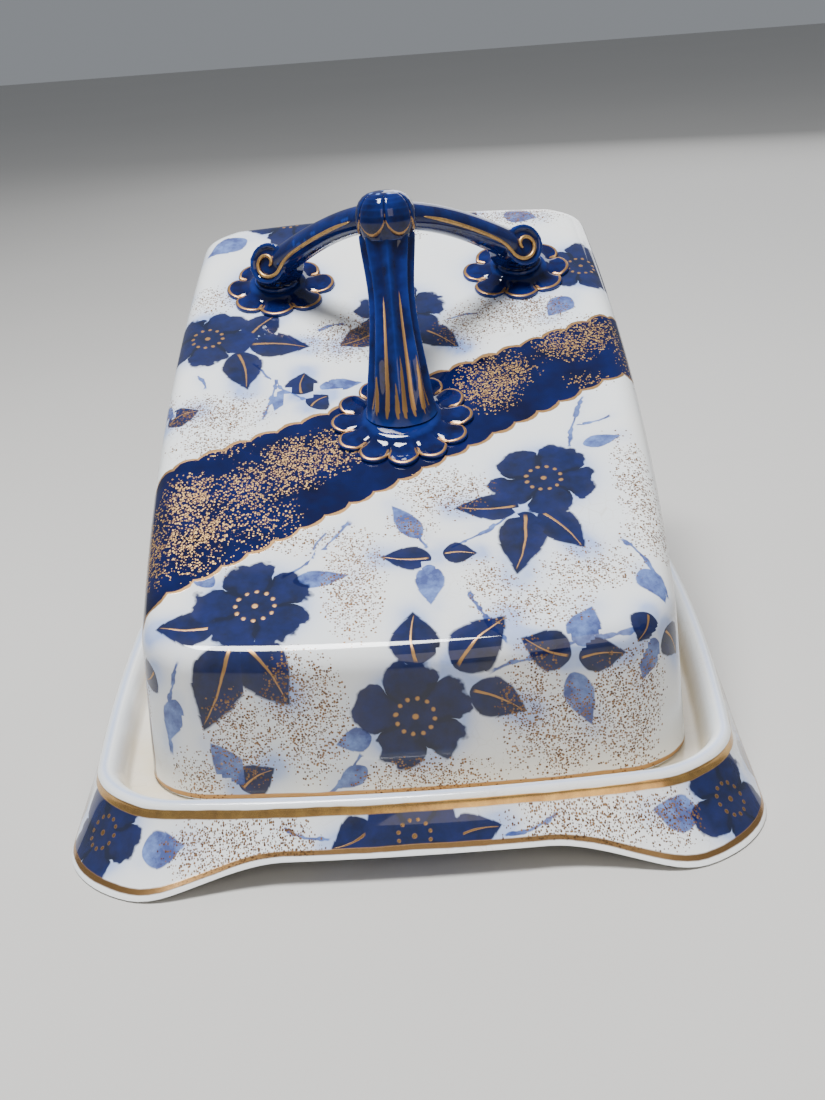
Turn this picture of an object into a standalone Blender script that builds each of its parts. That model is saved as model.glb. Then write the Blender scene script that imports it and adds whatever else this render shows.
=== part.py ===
"""Slant-topped butter dish: a footed dish with a sunk well, and a loose wedge-shaped cover.

The cover carries a three-legged handle whose legs stand on applied rosettes.
Metres, +Z up. The origin is on the table at the middle of the dish, and the low front faces -Y.
"""

import math

import bpy
from mathutils import Vector

MM = 0.001
GAP = 0.3 * MM  # air left between pieces that touch

# ---- dish: plan sizes are half sizes of a rounded rectangle whose sides bow outwards
RIM_HALF = (86.0 * MM, 117.3 * MM)
RIM_CORNER = 22.8 * MM
RIM_BOW = (6.9 * MM, 6.9 * MM)  # of the long sides, of the ends
RIM_TOP = 16.9 * MM
FOOT_HALF = (93.6 * MM, 137.5 * MM)
FOOT_CORNER = 30.0 * MM
FOOT_BOW = (5.0 * MM, 3.0 * MM)
FOOT_LAND = 6.0 * MM  # width of the flat ring that meets the table
ARCH_RISE = 6.2 * MM  # how far the lower edge lifts between the corner feet
ARCH_FOOT = (76.0 * MM, 112.0 * MM)  # the edge starts to lift here, across and along
ARCH_FULL = (34.0 * MM, 66.0 * MM)  # and is fully lifted here
WELL_FLOOR = 11.0 * MM
DISH_WALL = 4.6 * MM
UNDERSIDE_INSET = 11.6 * MM  # from the rim's outline to the edge of the well's flat underside
LAND_DRAFT = 0.6 * MM  # how much the inside of the foot leans
APRON_FLARE = 1.35  # the apron's outward sweep grows as this power of the drop
LIP_PROFILE = (  # inset from the rim's outline, and height, from the flat floor out over the lip
    (9.0 * MM, WELL_FLOOR),
    (7.6 * MM, WELL_FLOOR + 1.6 * MM),
    (6.0 * MM, RIM_TOP - 1.4 * MM),
    (4.0 * MM, RIM_TOP + 1.1 * MM),
    (2.3 * MM, RIM_TOP + 1.6 * MM),
    (0.7 * MM, RIM_TOP + 1.2 * MM),
)

# ---- cover
COVER_HALF = (74.0 * MM, 105.3 * MM)
COVER_CORNER = 17.2 * MM
COVER_BOW = (5.2 * MM, 5.2 * MM)
COVER_WALL = 4.6 * MM
COVER_BASE = WELL_FLOOR + GAP
COVER_SET = (1.3 * MM, 0.7 * MM, 0.0)  # the loose cover sits a little off the dish's middle
DRAFT = math.radians(2.8)  # lean of the walls
SLOPE = math.radians(22.2)  # rise of the top towards the back
FRONT_TOP = 53.5 * MM  # height of the top's plane above the front wall's foot
SHOULDER = 8.5 * MM  # rounding where the walls turn into the top

# ---- handle
FRONT_SEAT = (0.8 * MM, -17.4 * MM)  # where each leg stands, across and along
LEFT_SEAT = (-40.4 * MM, 56.0 * MM)
RIGHT_SEAT = (43.0 * MM, 56.0 * MM)
FRONT_ROSETTE = 22.2 * MM  # radius over the petals
BACK_ROSETTE = 18.0 * MM
ROSETTE_THICK = 3.0 * MM
ROSETTE_BOSS = 0.55  # radius of the raised middle, as a share of the rosette
ROSETTE_PROFILE = ((1.0, GAP), (1.0, 1.4 * MM), (0.9, 2.0 * MM), (0.72, 2.0 * MM))  # reach, height
PETAL_NOTCH = 0.38  # depth of the notches between petals, as a share of a petal
PETAL_ROUND = 0.6  # below 1 a petal's end is rounder and its notch is sharper
POINTS_PER_PETAL = 6
LEG_HALF_BASE = (10.6 * MM, 7.4 * MM)  # half width and half depth of the fluted leg
LEG_HALF_WAIST = (7.3 * MM, 6.2 * MM)
LEG_HALF_TOP = (9.0 * MM, 7.4 * MM)
LEG_LEAVES = Vector((0, -2.0 * MM, 17.0 * MM))  # pull of the leg's curve at its foot
LEG_ARRIVES = Vector((0, -6.0 * MM, -15.0 * MM))  # and at the crown
LEG_FLUTES = 12
FLUTE_DEPTH = 0.10  # as a share of the leg's radius
CROWN_FOOT = Vector((-0.2 * MM, 9.5 * MM, 141.5 * MM))
CROWN_RADIUS = 9.3 * MM
CROWN_HEIGHT = 14.5 * MM
CROWN_PROFILE = ((0.0, 0.84), (0.22, 0.97), (0.45, 1.0), (0.68, 0.93), (0.86, 0.70), (0.97, 0.38),
                 (1.0, 0.12))  # shares of its height and of its radius
CROWN_LOBES = 8
CROWN_LOBE_DEPTH = 0.02
ARM_START = Vector((3.0 * MM, 3.0 * MM, CROWN_HEIGHT * 0.40))  # inside the crown, above its foot
ARM_HALF_START = (4.6 * MM, 4.5 * MM)
ARM_HALF_END = (7.4 * MM, 5.6 * MM)
COLLAR_HALF = (7.9 * MM, 7.4 * MM)
COLLAR_HEIGHT = 2.6 * MM
SCROLL_RISE = 6.4 * MM  # height of the scrolled end's middle above its rosette


def smooth(value, low, high):
    """0 at low, 1 at high, with soft ends."""
    t = min(max((value - low) / (high - low), 0.0), 1.0)
    return t * t * (3 - 2 * t)


def material(name, colour, roughness=0.12):
    made = bpy.data.materials.new(name)
    made.use_nodes = True
    shader = made.node_tree.nodes["Principled BSDF"]
    shader.inputs["Base Color"].default_value = (*colour, 1.0)
    shader.inputs["Roughness"].default_value = roughness
    shader.inputs["Metallic"].default_value = 0.0
    return made


def rounded_outline(half, corner, bow, per_corner=6, per_side=9):
    """Points and outward normals of a bowed, rounded rectangle, anticlockwise from above."""
    a, b = half
    centres = [(a - corner, corner - b), (a - corner, b - corner),
               (corner - a, b - corner), (corner - a, corner - b)]
    flat = []
    for i, (cx, cy) in enumerate(centres):
        for k in range(per_corner + 1):
            turn = math.pi / 2 * (i - 1 + k / per_corner)
            n = Vector((math.cos(turn), math.sin(turn)))
            flat.append((Vector((cx, cy)) + corner * n, n))
        last, n = flat[-1]
        nx, ny = centres[(i + 1) % 4]
        start = Vector((nx, ny)) + corner * n
        for k in range(1, per_side):
            flat.append((last.lerp(start, k / per_side), n))
    out = []
    for p, n in flat:
        bow_x = bow[0] * max(0.0, 1 - (p.y / b) ** 2) * p.x / a
        bow_y = bow[1] * max(0.0, 1 - (p.x / a) ** 2) * p.y / b
        out.append((p + Vector((bow_x, bow_y)), n))
    return out


def closed_loft(name, rings):
    """A closed body through rings of equal length, with its two ends filled."""
    mesh = bpy.data.meshes.new(name)
    count = len(rings[0])
    points = [p for ring in rings for p in ring]
    faces = [tuple(reversed(range(count)))]
    for low in range(0, len(points) - count, count):
        for i in range(count):
            k = (i + 1) % count
            faces.append((low + i, low + k, low + count + k, low + count + i))
    faces.append(tuple(range(len(points) - count, len(points))))
    mesh.from_pydata(points, [], faces)
    mesh.shade_smooth()
    mesh.set_sharp_from_angle(angle=math.radians(40))
    made = bpy.data.objects.new(name, mesh)
    bpy.context.scene.collection.objects.link(made)
    return made


def arch(point):
    """Height of the dish's lower edge: flat under the corner feet, lifted between them."""
    across = 1 - smooth(abs(point.x), ARCH_FULL[0], ARCH_FOOT[0])
    along = 1 - smooth(abs(point.y), ARCH_FULL[1], ARCH_FOOT[1])
    return ARCH_RISE * max(across, along)


def dish():
    """One moulded body: well, lip, flared apron with corner feet, and the hollow underneath."""
    rim = rounded_outline(RIM_HALF, RIM_CORNER, RIM_BOW)
    foot = rounded_outline(FOOT_HALF, FOOT_CORNER, FOOT_BOW)

    def well_ring(inset, z):
        return [(*(p - n * inset), z) for p, n in rim]

    def apron_ring(down, inset):
        """down runs from 0 at the lip to 1 at the lower edge; the apron flares as it drops."""
        ring = []
        for (p, n), (q, m) in zip(rim, foot):
            z = RIM_TOP + (arch(q) - RIM_TOP) * down
            flare = ((RIM_TOP - z) / RIM_TOP) ** APRON_FLARE
            at = p.lerp(q, flare) - n.lerp(m, flare) * inset
            ring.append((at.x, at.y, z))
        return ring

    rings = [well_ring(inset, z) for inset, z in LIP_PROFILE]
    rings += [apron_ring(step, 0.0) for step in (0.0, 0.25, 0.5, 0.75, 1.0)]
    rings += [apron_ring(1.0, FOOT_LAND)]
    rings += [apron_ring(0.85, FOOT_LAND + LAND_DRAFT)]
    rings += [well_ring(UNDERSIDE_INSET, WELL_FLOOR - DISH_WALL)]
    rings.reverse()
    body = closed_loft("dish", rings)
    body.data.materials.append(material("dish_glaze", (0.80, 0.80, 0.78)))
    return body


def top_height(y):
    """Height of the cover's top plane."""
    return FRONT_TOP + math.tan(SLOPE) * (y + COVER_HALF[1])


def on_top(x, y, raised=0.0):
    """A point on the cover's sloping top, raised along the top's own normal."""
    normal = Vector((0, -math.sin(SLOPE), math.cos(SLOPE)))
    return Vector((x, y, top_height(y))) + normal * raised


def cover_skin(inset, drop, radius, base):
    """Rings of the cover's skin from its foot to the middle of its top.

    inset moves the walls inwards and drop lowers the top, so the same rings make the inside.
    """
    outline = rounded_outline(COVER_HALF, COVER_CORNER, COVER_BOW)
    lean = math.tan(DRAFT)
    rise = math.tan(SLOPE)
    foot, shoulders, crown = [], [[] for _ in range(6)], []
    for p, n in outline:
        start = p - n * inset
        foot.append((start.x, start.y, base))
        level = top_height(0) - drop
        z = (level + rise * (start.y + n.y * lean * base)) / (1 + rise * n.y * lean)
        corner = start - n * lean * (z - base)
        down = Vector((lean, -1.0)).normalized()
        inwards = Vector((-1.0, -rise * n.y)).normalized()
        half = down.angle(inwards) / 2
        centre = (down + inwards).normalized() * (radius / math.sin(half))
        first = down * (radius / math.tan(half)) - centre
        last = inwards * (radius / math.tan(half)) - centre
        a0 = math.atan2(first.y, first.x)
        sweep = (math.atan2(last.y, last.x) - a0 + math.pi) % math.tau - math.pi
        for k, ring in enumerate(shoulders):
            turn = a0 + sweep * k / (len(shoulders) - 1)
            spot = centre + Vector((math.cos(turn), math.sin(turn))) * radius
            at = corner + n * spot.x
            ring.append((at.x, at.y, z + spot.y))
    for share in (0.6, 0.2):
        crown.append([(x * share, y * share, top_height(y * share) - drop)
                      for x, y, _ in shoulders[-1]])
    middle = [[tuple(Vector(f).lerp(Vector(s), t)) for f, s in zip(foot, shoulders[0])]
              for t in (0.35, 0.7)]
    return [foot, *middle, *shoulders, *crown]


def cover_shell():
    """The wedge-shaped cover: an open-bottomed shell of even wall."""
    outer = cover_skin(0.0, 0.0, SHOULDER, COVER_BASE)
    drop = COVER_WALL / math.cos(SLOPE)
    inner = cover_skin(COVER_WALL, drop, SHOULDER - COVER_WALL / 2, COVER_BASE)
    shell = closed_loft("cover_shell", [*reversed(inner), *outer])
    shell.data.materials.append(material("cover_glaze", (0.76, 0.79, 0.82)))
    return shell


def rosette(name, seat, radius, petals):
    """A scalloped flower plate lying on the cover's top, with a flat boss for the leg."""
    steps = petals * POINTS_PER_PETAL
    rings = []
    boss = radius * ROSETTE_BOSS
    for reach, height in ROSETTE_PROFILE:
        ring = []
        for i in range(steps):
            turn = math.tau * i / steps
            lobe = abs(math.cos(turn * petals / 2)) ** PETAL_ROUND
            r = boss + (radius - boss) * reach * (1 - PETAL_NOTCH + PETAL_NOTCH * lobe)
            ring.append((r * math.cos(turn), r * math.sin(turn), height))
        rings.append(ring)
    rings.append([(boss * math.cos(math.tau * i / steps),
                   boss * math.sin(math.tau * i / steps), ROSETTE_THICK) for i in range(steps)])
    made = closed_loft(name, rings)
    made.location = on_top(*seat)
    made.rotation_euler = (SLOPE, 0, 0)
    made.data.materials.append(material(name + "_glaze", (0.010, 0.020, 0.105)))
    return made


def swept(name, path, sizes, normals, flutes=0, depth=0.0, steps=32):
    """A body swept along a path of centres, with an oval, fluted section at each of them.

    Each section lies square to its normal, with its width kept level.
    """
    rings = []
    for at, (wide, deep), normal in zip(path, sizes, normals):
        normal = Vector(normal).normalized()
        across = Vector((normal.y, -normal.x, 0))
        if across.length < 0.2 or flutes:
            across = Vector((1, 0, 0)) - normal * normal.x
        across.normalize()
        out = normal.cross(across)
        ring = []
        for i in range(steps):
            turn = math.tau * i / steps
            cut = 1 - depth * (0.5 - 0.5 * math.cos(flutes * turn)) if flutes else 1.0
            ring.append(at + across * (wide * cut * math.cos(turn))
                        + out * (deep * cut * math.sin(turn)))
        rings.append(ring)
    made = closed_loft(name, rings)
    made.data.materials.append(material(name + "_glaze", (0.012, 0.022, 0.115)))
    return made


def bezier(points, t):
    """A point on the cubic curve with these four control points."""
    a, b, c, d = points
    s = 1 - t
    return a * s ** 3 + b * 3 * s * s * t + c * 3 * s * t * t + d * t ** 3


def slope_normal():
    return Vector((0, -math.sin(SLOPE), math.cos(SLOPE)))


def front_leg():
    """The broad fluted leg, widest at its foot, that leans back under the crown."""
    foot = on_top(*FRONT_SEAT, ROSETTE_THICK + GAP)
    head = CROWN_FOOT - Vector((0, 0, GAP))
    curve = (foot, foot + LEG_LEAVES, head + LEG_ARRIVES, head)
    path, sizes, normals = [], [], []
    for t in (0.0, 0.05, 0.14, 0.28, 0.45, 0.64, 0.83, 1.0):
        path.append(bezier(curve, t))
        ahead = bezier(curve, min(t + 0.01, 1.0)) - bezier(curve, max(t - 0.01, 0.0))
        if t < 0.5:
            normals.append(slope_normal().lerp(ahead.normalized(), min(1.0, t * 5)))
        else:
            normals.append(ahead.normalized().lerp(Vector((0, 0, 1)), smooth(t, 0.6, 1.0)))
        flare = 1 - smooth(t, 0.0, 0.6)
        crest = smooth(t, 0.6, 1.0)
        wide = LEG_HALF_WAIST[0]
        wide += (LEG_HALF_BASE[0] - LEG_HALF_WAIST[0]) * flare
        wide += (LEG_HALF_TOP[0] - LEG_HALF_WAIST[0]) * crest
        deep = LEG_HALF_WAIST[1]
        deep += (LEG_HALF_BASE[1] - LEG_HALF_WAIST[1]) * flare
        deep += (LEG_HALF_TOP[1] - LEG_HALF_WAIST[1]) * crest
        sizes.append((wide, deep))
    return swept("handle_front_leg", path, sizes, normals, LEG_FLUTES, FLUTE_DEPTH, steps=48)


def crown_rings(grow=0.0, steps=32):
    """Rings of the domed knob where the three legs meet, each a little lobed."""
    rings = []
    for up, reach in CROWN_PROFILE:
        z = CROWN_HEIGHT * up + grow * (2 * up - 1)
        ring = []
        for i in range(steps):
            turn = math.tau * i / steps
            lobe = 1 + CROWN_LOBE_DEPTH * math.cos(CROWN_LOBES * turn)
            r = CROWN_RADIUS * reach * lobe + grow
            ring.append(CROWN_FOOT + Vector((r * math.cos(turn), r * math.sin(turn), z)))
        rings.append(ring)
    return rings


def crown():
    made = closed_loft("handle_crown", crown_rings())
    made.data.materials.append(material("crown_glaze", (0.010, 0.018, 0.090)))
    return made


def arm(name, seat, side, cutter):
    """A scrolled arm from the crown out and down to its rosette, cut clear of the crown."""
    foot = on_top(*seat, ROSETTE_THICK + GAP)
    start = CROWN_FOOT + Vector((side * ARM_START.x, ARM_START.y, ARM_START.z))
    scroll = foot + slope_normal() * SCROLL_RISE - Vector((side * 0.8 * MM, 1.8 * MM, 0))
    out = Vector((scroll.x - start.x, scroll.y - start.y, 0))
    curve = (start, start + out * 0.35 - Vector((0, 0, 1.5 * MM)),
             scroll - out * 0.25 + Vector((0, 0, 7.0 * MM)), scroll)
    path, sizes, normals = [], [], []
    for t in (0.0, 0.2, 0.4, 0.6, 0.8, 1.0):
        path.append(bezier(curve, t))
        ahead = bezier(curve, min(t + 0.01, 1.0)) - bezier(curve, max(t - 0.01, 0.0))
        normals.append(ahead.normalized())
        grow = smooth(t, 0.3, 1.0)
        sizes.append([a + (b - a) * grow for a, b in zip(ARM_HALF_START, ARM_HALF_END)])
    down = -slope_normal()
    normals[-1] = normals[-1].lerp(down, 0.4)
    for rise in (COLLAR_HEIGHT, 0.0):
        path.append(foot - down * rise)
        normals.append(down)
        sizes.append(COLLAR_HALF)
    made = swept(name, path, sizes, normals, steps=24)
    cut = made.modifiers.new("clear_crown", "BOOLEAN")
    cut.operation = "DIFFERENCE"
    cut.solver = "EXACT"
    cut.object = cutter
    return made


def crown_cutter():
    """The crown grown by the gap, which trims the arms."""
    cutter = closed_loft("crown_cutter", crown_rings(GAP))
    cutter.hide_render = True
    cutter.display_type = "WIRE"
    return cutter


def main():
    for old in list(bpy.data.objects):
        bpy.data.objects.remove(old)
    dish()
    cover = bpy.data.objects.new("cover", None)
    cover.location = COVER_SET
    bpy.context.scene.collection.objects.link(cover)
    cutter = crown_cutter()
    lifted = [
        cutter,
        cover_shell(),
        rosette("front_rosette", FRONT_SEAT, FRONT_ROSETTE, 12),
        rosette("left_rosette", LEFT_SEAT, BACK_ROSETTE, 8),
        rosette("right_rosette", RIGHT_SEAT, BACK_ROSETTE, 8),
        front_leg(),
        crown(),
        arm("handle_left_arm", LEFT_SEAT, -1, cutter),
        arm("handle_right_arm", RIGHT_SEAT, 1, cutter),
    ]
    for piece in lifted:
        piece.parent = cover


main()
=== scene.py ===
import math

import bmesh
import bpy
import numpy as np
from mathutils import Matrix, Vector


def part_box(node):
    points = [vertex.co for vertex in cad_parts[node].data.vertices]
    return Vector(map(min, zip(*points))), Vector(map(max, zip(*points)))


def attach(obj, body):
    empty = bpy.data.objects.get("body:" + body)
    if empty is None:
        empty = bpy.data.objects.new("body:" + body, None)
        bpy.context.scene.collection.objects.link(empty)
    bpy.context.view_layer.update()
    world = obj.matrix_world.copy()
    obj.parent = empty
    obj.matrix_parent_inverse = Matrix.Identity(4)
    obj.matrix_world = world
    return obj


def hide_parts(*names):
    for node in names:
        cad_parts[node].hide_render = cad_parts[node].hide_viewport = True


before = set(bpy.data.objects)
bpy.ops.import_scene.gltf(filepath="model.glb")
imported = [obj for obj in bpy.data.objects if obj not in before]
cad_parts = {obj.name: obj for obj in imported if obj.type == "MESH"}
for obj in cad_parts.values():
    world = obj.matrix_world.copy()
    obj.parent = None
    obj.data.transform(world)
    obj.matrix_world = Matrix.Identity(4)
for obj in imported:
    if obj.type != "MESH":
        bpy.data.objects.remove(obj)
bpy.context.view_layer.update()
print("frame loaded:", sorted(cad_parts))

mm = 0.001
slope = math.radians(22.2)  # rise of the cover's top towards the back
slopeNormal = Vector((0, -math.sin(slope), math.cos(slope)))


# small helpers

def smooth(value, low, high):
    t = min(max((value - low) / (high - low), 0.0), 1.0)
    return t * t * (3 - 2 * t)


def blendTo(a, b, t):
    return a + (b - a) * t


def bezier(points, t):
    a, b, c, d = points
    s = 1 - t
    return a * s ** 3 + b * 3 * s * s * t + c * 3 * s * t * t + d * t ** 3


def deselectAll():
    if bpy.context.object and bpy.context.object.mode != "OBJECT":
        bpy.ops.object.mode_set(mode="OBJECT")
    bpy.ops.object.select_all(action="DESELECT")


def makeActive(piece):
    deselectAll()
    piece.select_set(True)
    bpy.context.view_layer.objects.active = piece


def applyModifier(piece, kind, **settings):
    makeActive(piece)
    modifier = piece.modifiers.new(kind.lower(), kind)
    for key, value in settings.items():
        setattr(modifier, key, value)
    bpy.ops.object.modifier_apply(modifier=modifier.name)


def subdivided(piece, cuts=1):
    makeActive(piece)
    bpy.ops.object.mode_set(mode="EDIT")
    bpy.ops.mesh.select_all(action="SELECT")
    bpy.ops.mesh.subdivide(number_cuts=cuts, smoothness=0)
    bpy.ops.object.mode_set(mode="OBJECT")
    return piece


def roundedOutline(half, corner, bow, perCorner, perSide):
    # a rounded rectangle whose sides bow outwards, anticlockwise, with its outward normals
    a, b = half
    centres = [(a - corner, corner - b), (a - corner, b - corner),
               (corner - a, b - corner), (corner - a, corner - b)]
    flat = []
    for i, (cx, cy) in enumerate(centres):
        for k in range(perCorner + 1):
            turn = math.pi / 2 * (i - 1 + k / perCorner)
            n = Vector((math.cos(turn), math.sin(turn)))
            flat.append((Vector((cx, cy)) + corner * n, n))
        last, n = flat[-1]
        nextStart = Vector(centres[(i + 1) % 4]) + corner * n
        steps = perSide[(i + 1) % 2]
        flat += [(last.lerp(nextStart, k / steps), n) for k in range(1, steps)]
    outline = []
    for p, n in flat:
        bowX = bow[0] * max(0.0, 1 - (p.y / b) ** 2) * p.x / a
        bowY = bow[1] * max(0.0, 1 - (p.x / a) ** 2) * p.y / b
        outline.append((p + Vector((bowX, bowY)), n))
    return outline


def extrudeRings(name, rings, marks=None):
    # A circle is extruded ring by ring, and each new edge loop is laid on its own outline.
    # marks = {attribute: one row of values for each ring}; both ends close in a point.
    marks = marks or {}
    deselectAll()
    bpy.ops.mesh.primitive_circle_add(vertices=len(rings[0]), radius=0.01, location=(0, 0, 0))
    piece = bpy.context.object
    piece.name = piece.data.name = name
    bpy.ops.object.mode_set(mode="EDIT")
    bpy.ops.mesh.select_mode(type="VERT")
    bpy.ops.mesh.select_all(action="SELECT")
    mesh = bmesh.from_edit_mesh(piece.data)
    for layer in ("station", "ringNumber"):
        mesh.verts.layers.int.new(layer)
    for attribute in marks:
        mesh.verts.layers.float.new(attribute)
    station = mesh.verts.layers.int["station"]
    for i, vert in enumerate(mesh.verts):
        vert[station] = i
    for k, ring in enumerate(rings):
        if k:
            bpy.ops.mesh.extrude_region_move()
        mesh = bmesh.from_edit_mesh(piece.data)
        station = mesh.verts.layers.int["station"]
        ringNumber = mesh.verts.layers.int["ringNumber"]
        layers = [(mesh.verts.layers.float[key], rows[k]) for key, rows in marks.items()]
        for vert in mesh.verts:
            if vert.select:
                i = vert[station]
                vert.co = ring[i]
                vert[ringNumber] = k
                for layer, row in layers:
                    vert[layer] = row[i] if hasattr(row, "__len__") else row
        bmesh.update_edit_mesh(piece.data)
    for end in (len(rings) - 1, 0):
        bpy.ops.mesh.select_all(action="DESELECT")
        mesh = bmesh.from_edit_mesh(piece.data)
        ringNumber = mesh.verts.layers.int["ringNumber"]
        for vert in mesh.verts:
            vert.select = vert[ringNumber] == end
        mesh.select_flush_mode()
        bmesh.update_edit_mesh(piece.data)
        bpy.ops.mesh.merge(type="CENTER")
    bpy.ops.mesh.select_all(action="SELECT")
    bpy.ops.mesh.normals_make_consistent(inside=False)
    bpy.ops.object.mode_set(mode="OBJECT")
    for layer in ("station", "ringNumber"):
        piece.data.attributes.remove(piece.data.attributes[layer])
    return piece


def shadeSmooth(piece, degrees=40):
    makeActive(piece)
    bpy.ops.object.shade_smooth_by_angle(angle=math.radians(degrees))


def finishPiece(piece, body, slot, material, *nodes, degrees=40):
    piece.data.materials.clear()
    piece.data.materials.append(material)
    shadeSmooth(piece, degrees)
    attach(piece, body)
    if nodes:
        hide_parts(*nodes)
    print("made", piece.name, len(piece.data.polygons), "faces")


# dish

dishShape = {
    "rimHalf": (86.0 * mm, 117.3 * mm),
    "rimCorner": 22.8 * mm,
    "rimBow": (6.9 * mm, 6.9 * mm),
    "rimTop": 16.9 * mm,
    "footHalf": (93.6 * mm, 137.5 * mm),
    "footCorner": 30.0 * mm,
    "footBow": (5.0 * mm, 3.0 * mm),
    "footLand": 6.0 * mm,  # width of the flat ring on the table
    "archRise": 6.2 * mm,
    "archFoot": (76.0 * mm, 112.0 * mm),  # where the lower edge starts to lift, across and along
    "archFull": (34.0 * mm, 66.0 * mm),
    "flare": 1.35,
    "wellFloor": 11.0 * mm,
    "wall": 4.6 * mm,
    "underInset": 11.6 * mm,
    "perCorner": 16,
    "perSide": (44, 60),
}


def archHeight(x, y):
    s = dishShape
    across = 1 - smooth(abs(x), s["archFull"][0], s["archFoot"][0])
    along = 1 - smooth(abs(y), s["archFull"][1], s["archFoot"][1])
    return s["archRise"] * max(across, along)


def makeDish():
    s = dishShape
    rim = roundedOutline(s["rimHalf"], s["rimCorner"], s["rimBow"], s["perCorner"], s["perSide"])
    foot = roundedOutline(s["footHalf"], s["footCorner"], s["footBow"], s["perCorner"], s["perSide"])
    rings, drop, floorMark, above = [], [], [], []

    def wellRing(inset, z, below, share=1.0):
        ring = []
        for p, n in rim:
            at = (p - n * inset) * share
            ring.append((at.x, at.y, z))
        rings.append(ring)
        drop.append(below)
        floorMark.append(min(1.0, max(0.0, (inset - 5.0 * mm) / (2.5 * mm))))
        above.append(0.05)

    def apronRing(down, inset, lift=0.0, under=False):
        ring, below = [], []
        for (p, n), (q, m) in zip(rim, foot):
            z = s["rimTop"] + (archHeight(q.x, q.y) - s["rimTop"]) * down
            part = ((s["rimTop"] - z) / s["rimTop"]) ** s["flare"]
            at = p.lerp(q, part) - n.lerp(m, part) * inset
            ring.append((at.x, at.y, z + lift))
            below.append(0.06 if under else s["rimTop"] - z)
        rings.append(ring)
        drop.append(below)
        floorMark.append(0.0)
        above.append([0.05 if under else at[2] - archHeight(q.x, q.y) for at, (q, m) in zip(ring, foot)])

    # from the middle of the flat floor out over the lip, down the apron and back underneath
    floor = s["wellFloor"]
    for share in (0.06, 0.3, 0.5, 0.68, 0.82, 0.92, 0.97):
        wellRing(9.4 * mm, floor, -0.03, share)
    for inset, z in ((9.2, 0.0), (8.4, 0.35), (7.6, 1.5), (6.8, 3.0), (6.0, 4.6), (5.4, 5.6),
                     (4.7, 6.5), (3.9, 7.1), (3.1, 7.42), (2.3, 7.5), (1.5, 7.4), (0.9, 7.1),
                     (0.4, 6.6)):
        wellRing(inset * mm, floor + z * mm, (z - 5.9) * -mm if inset < 1 else -inset * mm)
    for down in (0.0, 0.05, 0.12, 0.2, 0.3, 0.4, 0.5, 0.6, 0.7, 0.8, 0.87, 0.93, 0.965):
        apronRing(down, 0.0)
    apronRing(0.985, 0.1 * mm)
    apronRing(1.0, 0.7 * mm)
    apronRing(1.0, 2.0 * mm, under=True)
    apronRing(1.0, 4.6 * mm, under=True)
    apronRing(0.985, 5.8 * mm, under=True)
    apronRing(0.9, s["footLand"] + 0.4 * mm, under=True)
    apronRing(0.6, s["footLand"] + 0.9 * mm, under=True)
    under = floor - s["wall"]
    for share in (1.0, 0.97, 0.88, 0.7, 0.4, 0.06):
        wellRing(s["underInset"], under, 0.06, share)
    dish = extrudeRings("dish_glazed", rings, {"drop": drop, "hollow": floorMark, "above": above})
    return subdivided(dish)


dish = makeDish()
print("dish shaped:", len(dish.data.polygons), "faces")


# cover

coverLow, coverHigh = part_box("cover_shell")
coverShape = {
    "bow": 5.2 * mm,
    "corner": 17.2 * mm,
    "wall": 4.6 * mm,
    "draft": math.radians(2.8),
    "frontTop": 53.5 * mm,
    "shoulder": 8.5 * mm,
    "perCorner": 16,
    "perSide": (46, 62),
    "centre": Vector(((coverLow.x + coverHigh.x) / 2, (coverLow.y + coverHigh.y) / 2)),
}
coverHalf = ((coverHigh.x - coverLow.x) / 2 - coverShape["bow"],
             (coverHigh.y - coverLow.y) / 2 - coverShape["bow"])


def topHeight(y):
    # height of the cover's sloping top, y from the cover's middle
    return coverShape["frontTop"] + math.tan(slope) * (y + coverHalf[1])


def onTop(x, y, raised=0.0):
    c = coverShape["centre"]
    return Vector((x + c.x, y + c.y, topHeight(y))) + slopeNormal * raised


def coverSkin(inset, drop, radius, heights, turns, shares):
    # rings from the foot to the middle of the top, and beside each its place on the unrolled sheet
    s = coverShape
    outline = roundedOutline(coverHalf, s["corner"], (s["bow"], s["bow"]), s["perCorner"], s["perSide"])
    lean, rise, base = math.tan(s["draft"]), math.tan(slope), coverLow.z
    rings = [[] for _ in range(len(heights) + len(turns) + len(shares))]
    for p, n in outline:
        start = p - n * inset
        level = topHeight(0) - drop
        z = (level + rise * (start.y + n.y * lean * base)) / (1 + rise * n.y * lean)
        corner = start - n * lean * (z - base)
        down = Vector((lean, -1.0)).normalized()
        inwards = Vector((-1.0, -rise * n.y)).normalized()
        half = down.angle(inwards) / 2
        middle = (down + inwards).normalized() * (radius / math.sin(half))
        reach = radius / math.tan(half)
        first, last = down * reach - middle, inwards * reach - middle
        a0 = math.atan2(first.y, first.x)
        sweep = (math.atan2(last.y, last.x) - a0 + math.pi) % math.tau - math.pi
        spots = []
        for turn in turns:
            angle = a0 + sweep * turn
            spot = middle + Vector((math.cos(angle), math.sin(angle))) * radius
            at = corner + n * spot.x
            spots.append(((at.x, at.y, z + spot.y), abs(sweep) * radius * (1 - turn)))
        low, rim = Vector((*start, base)), Vector(spots[0][0])
        edge = spots[-1][0]
        for k, share in enumerate(heights):
            at = low.lerp(rim, share)
            rings[k].append((at, n, spots[0][1] + (rim - at).length, edge))
        for k, (at, far) in enumerate(spots):
            rings[len(heights) + k].append((Vector(at), n, far, edge))
        for k, share in enumerate(shares):
            x, y = edge[0] * share, edge[1] * share
            at = Vector((x, y, topHeight(y) - drop))
            rings[len(heights) + len(turns) + k].append((at, n, 0.0, at))
    return rings


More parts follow.
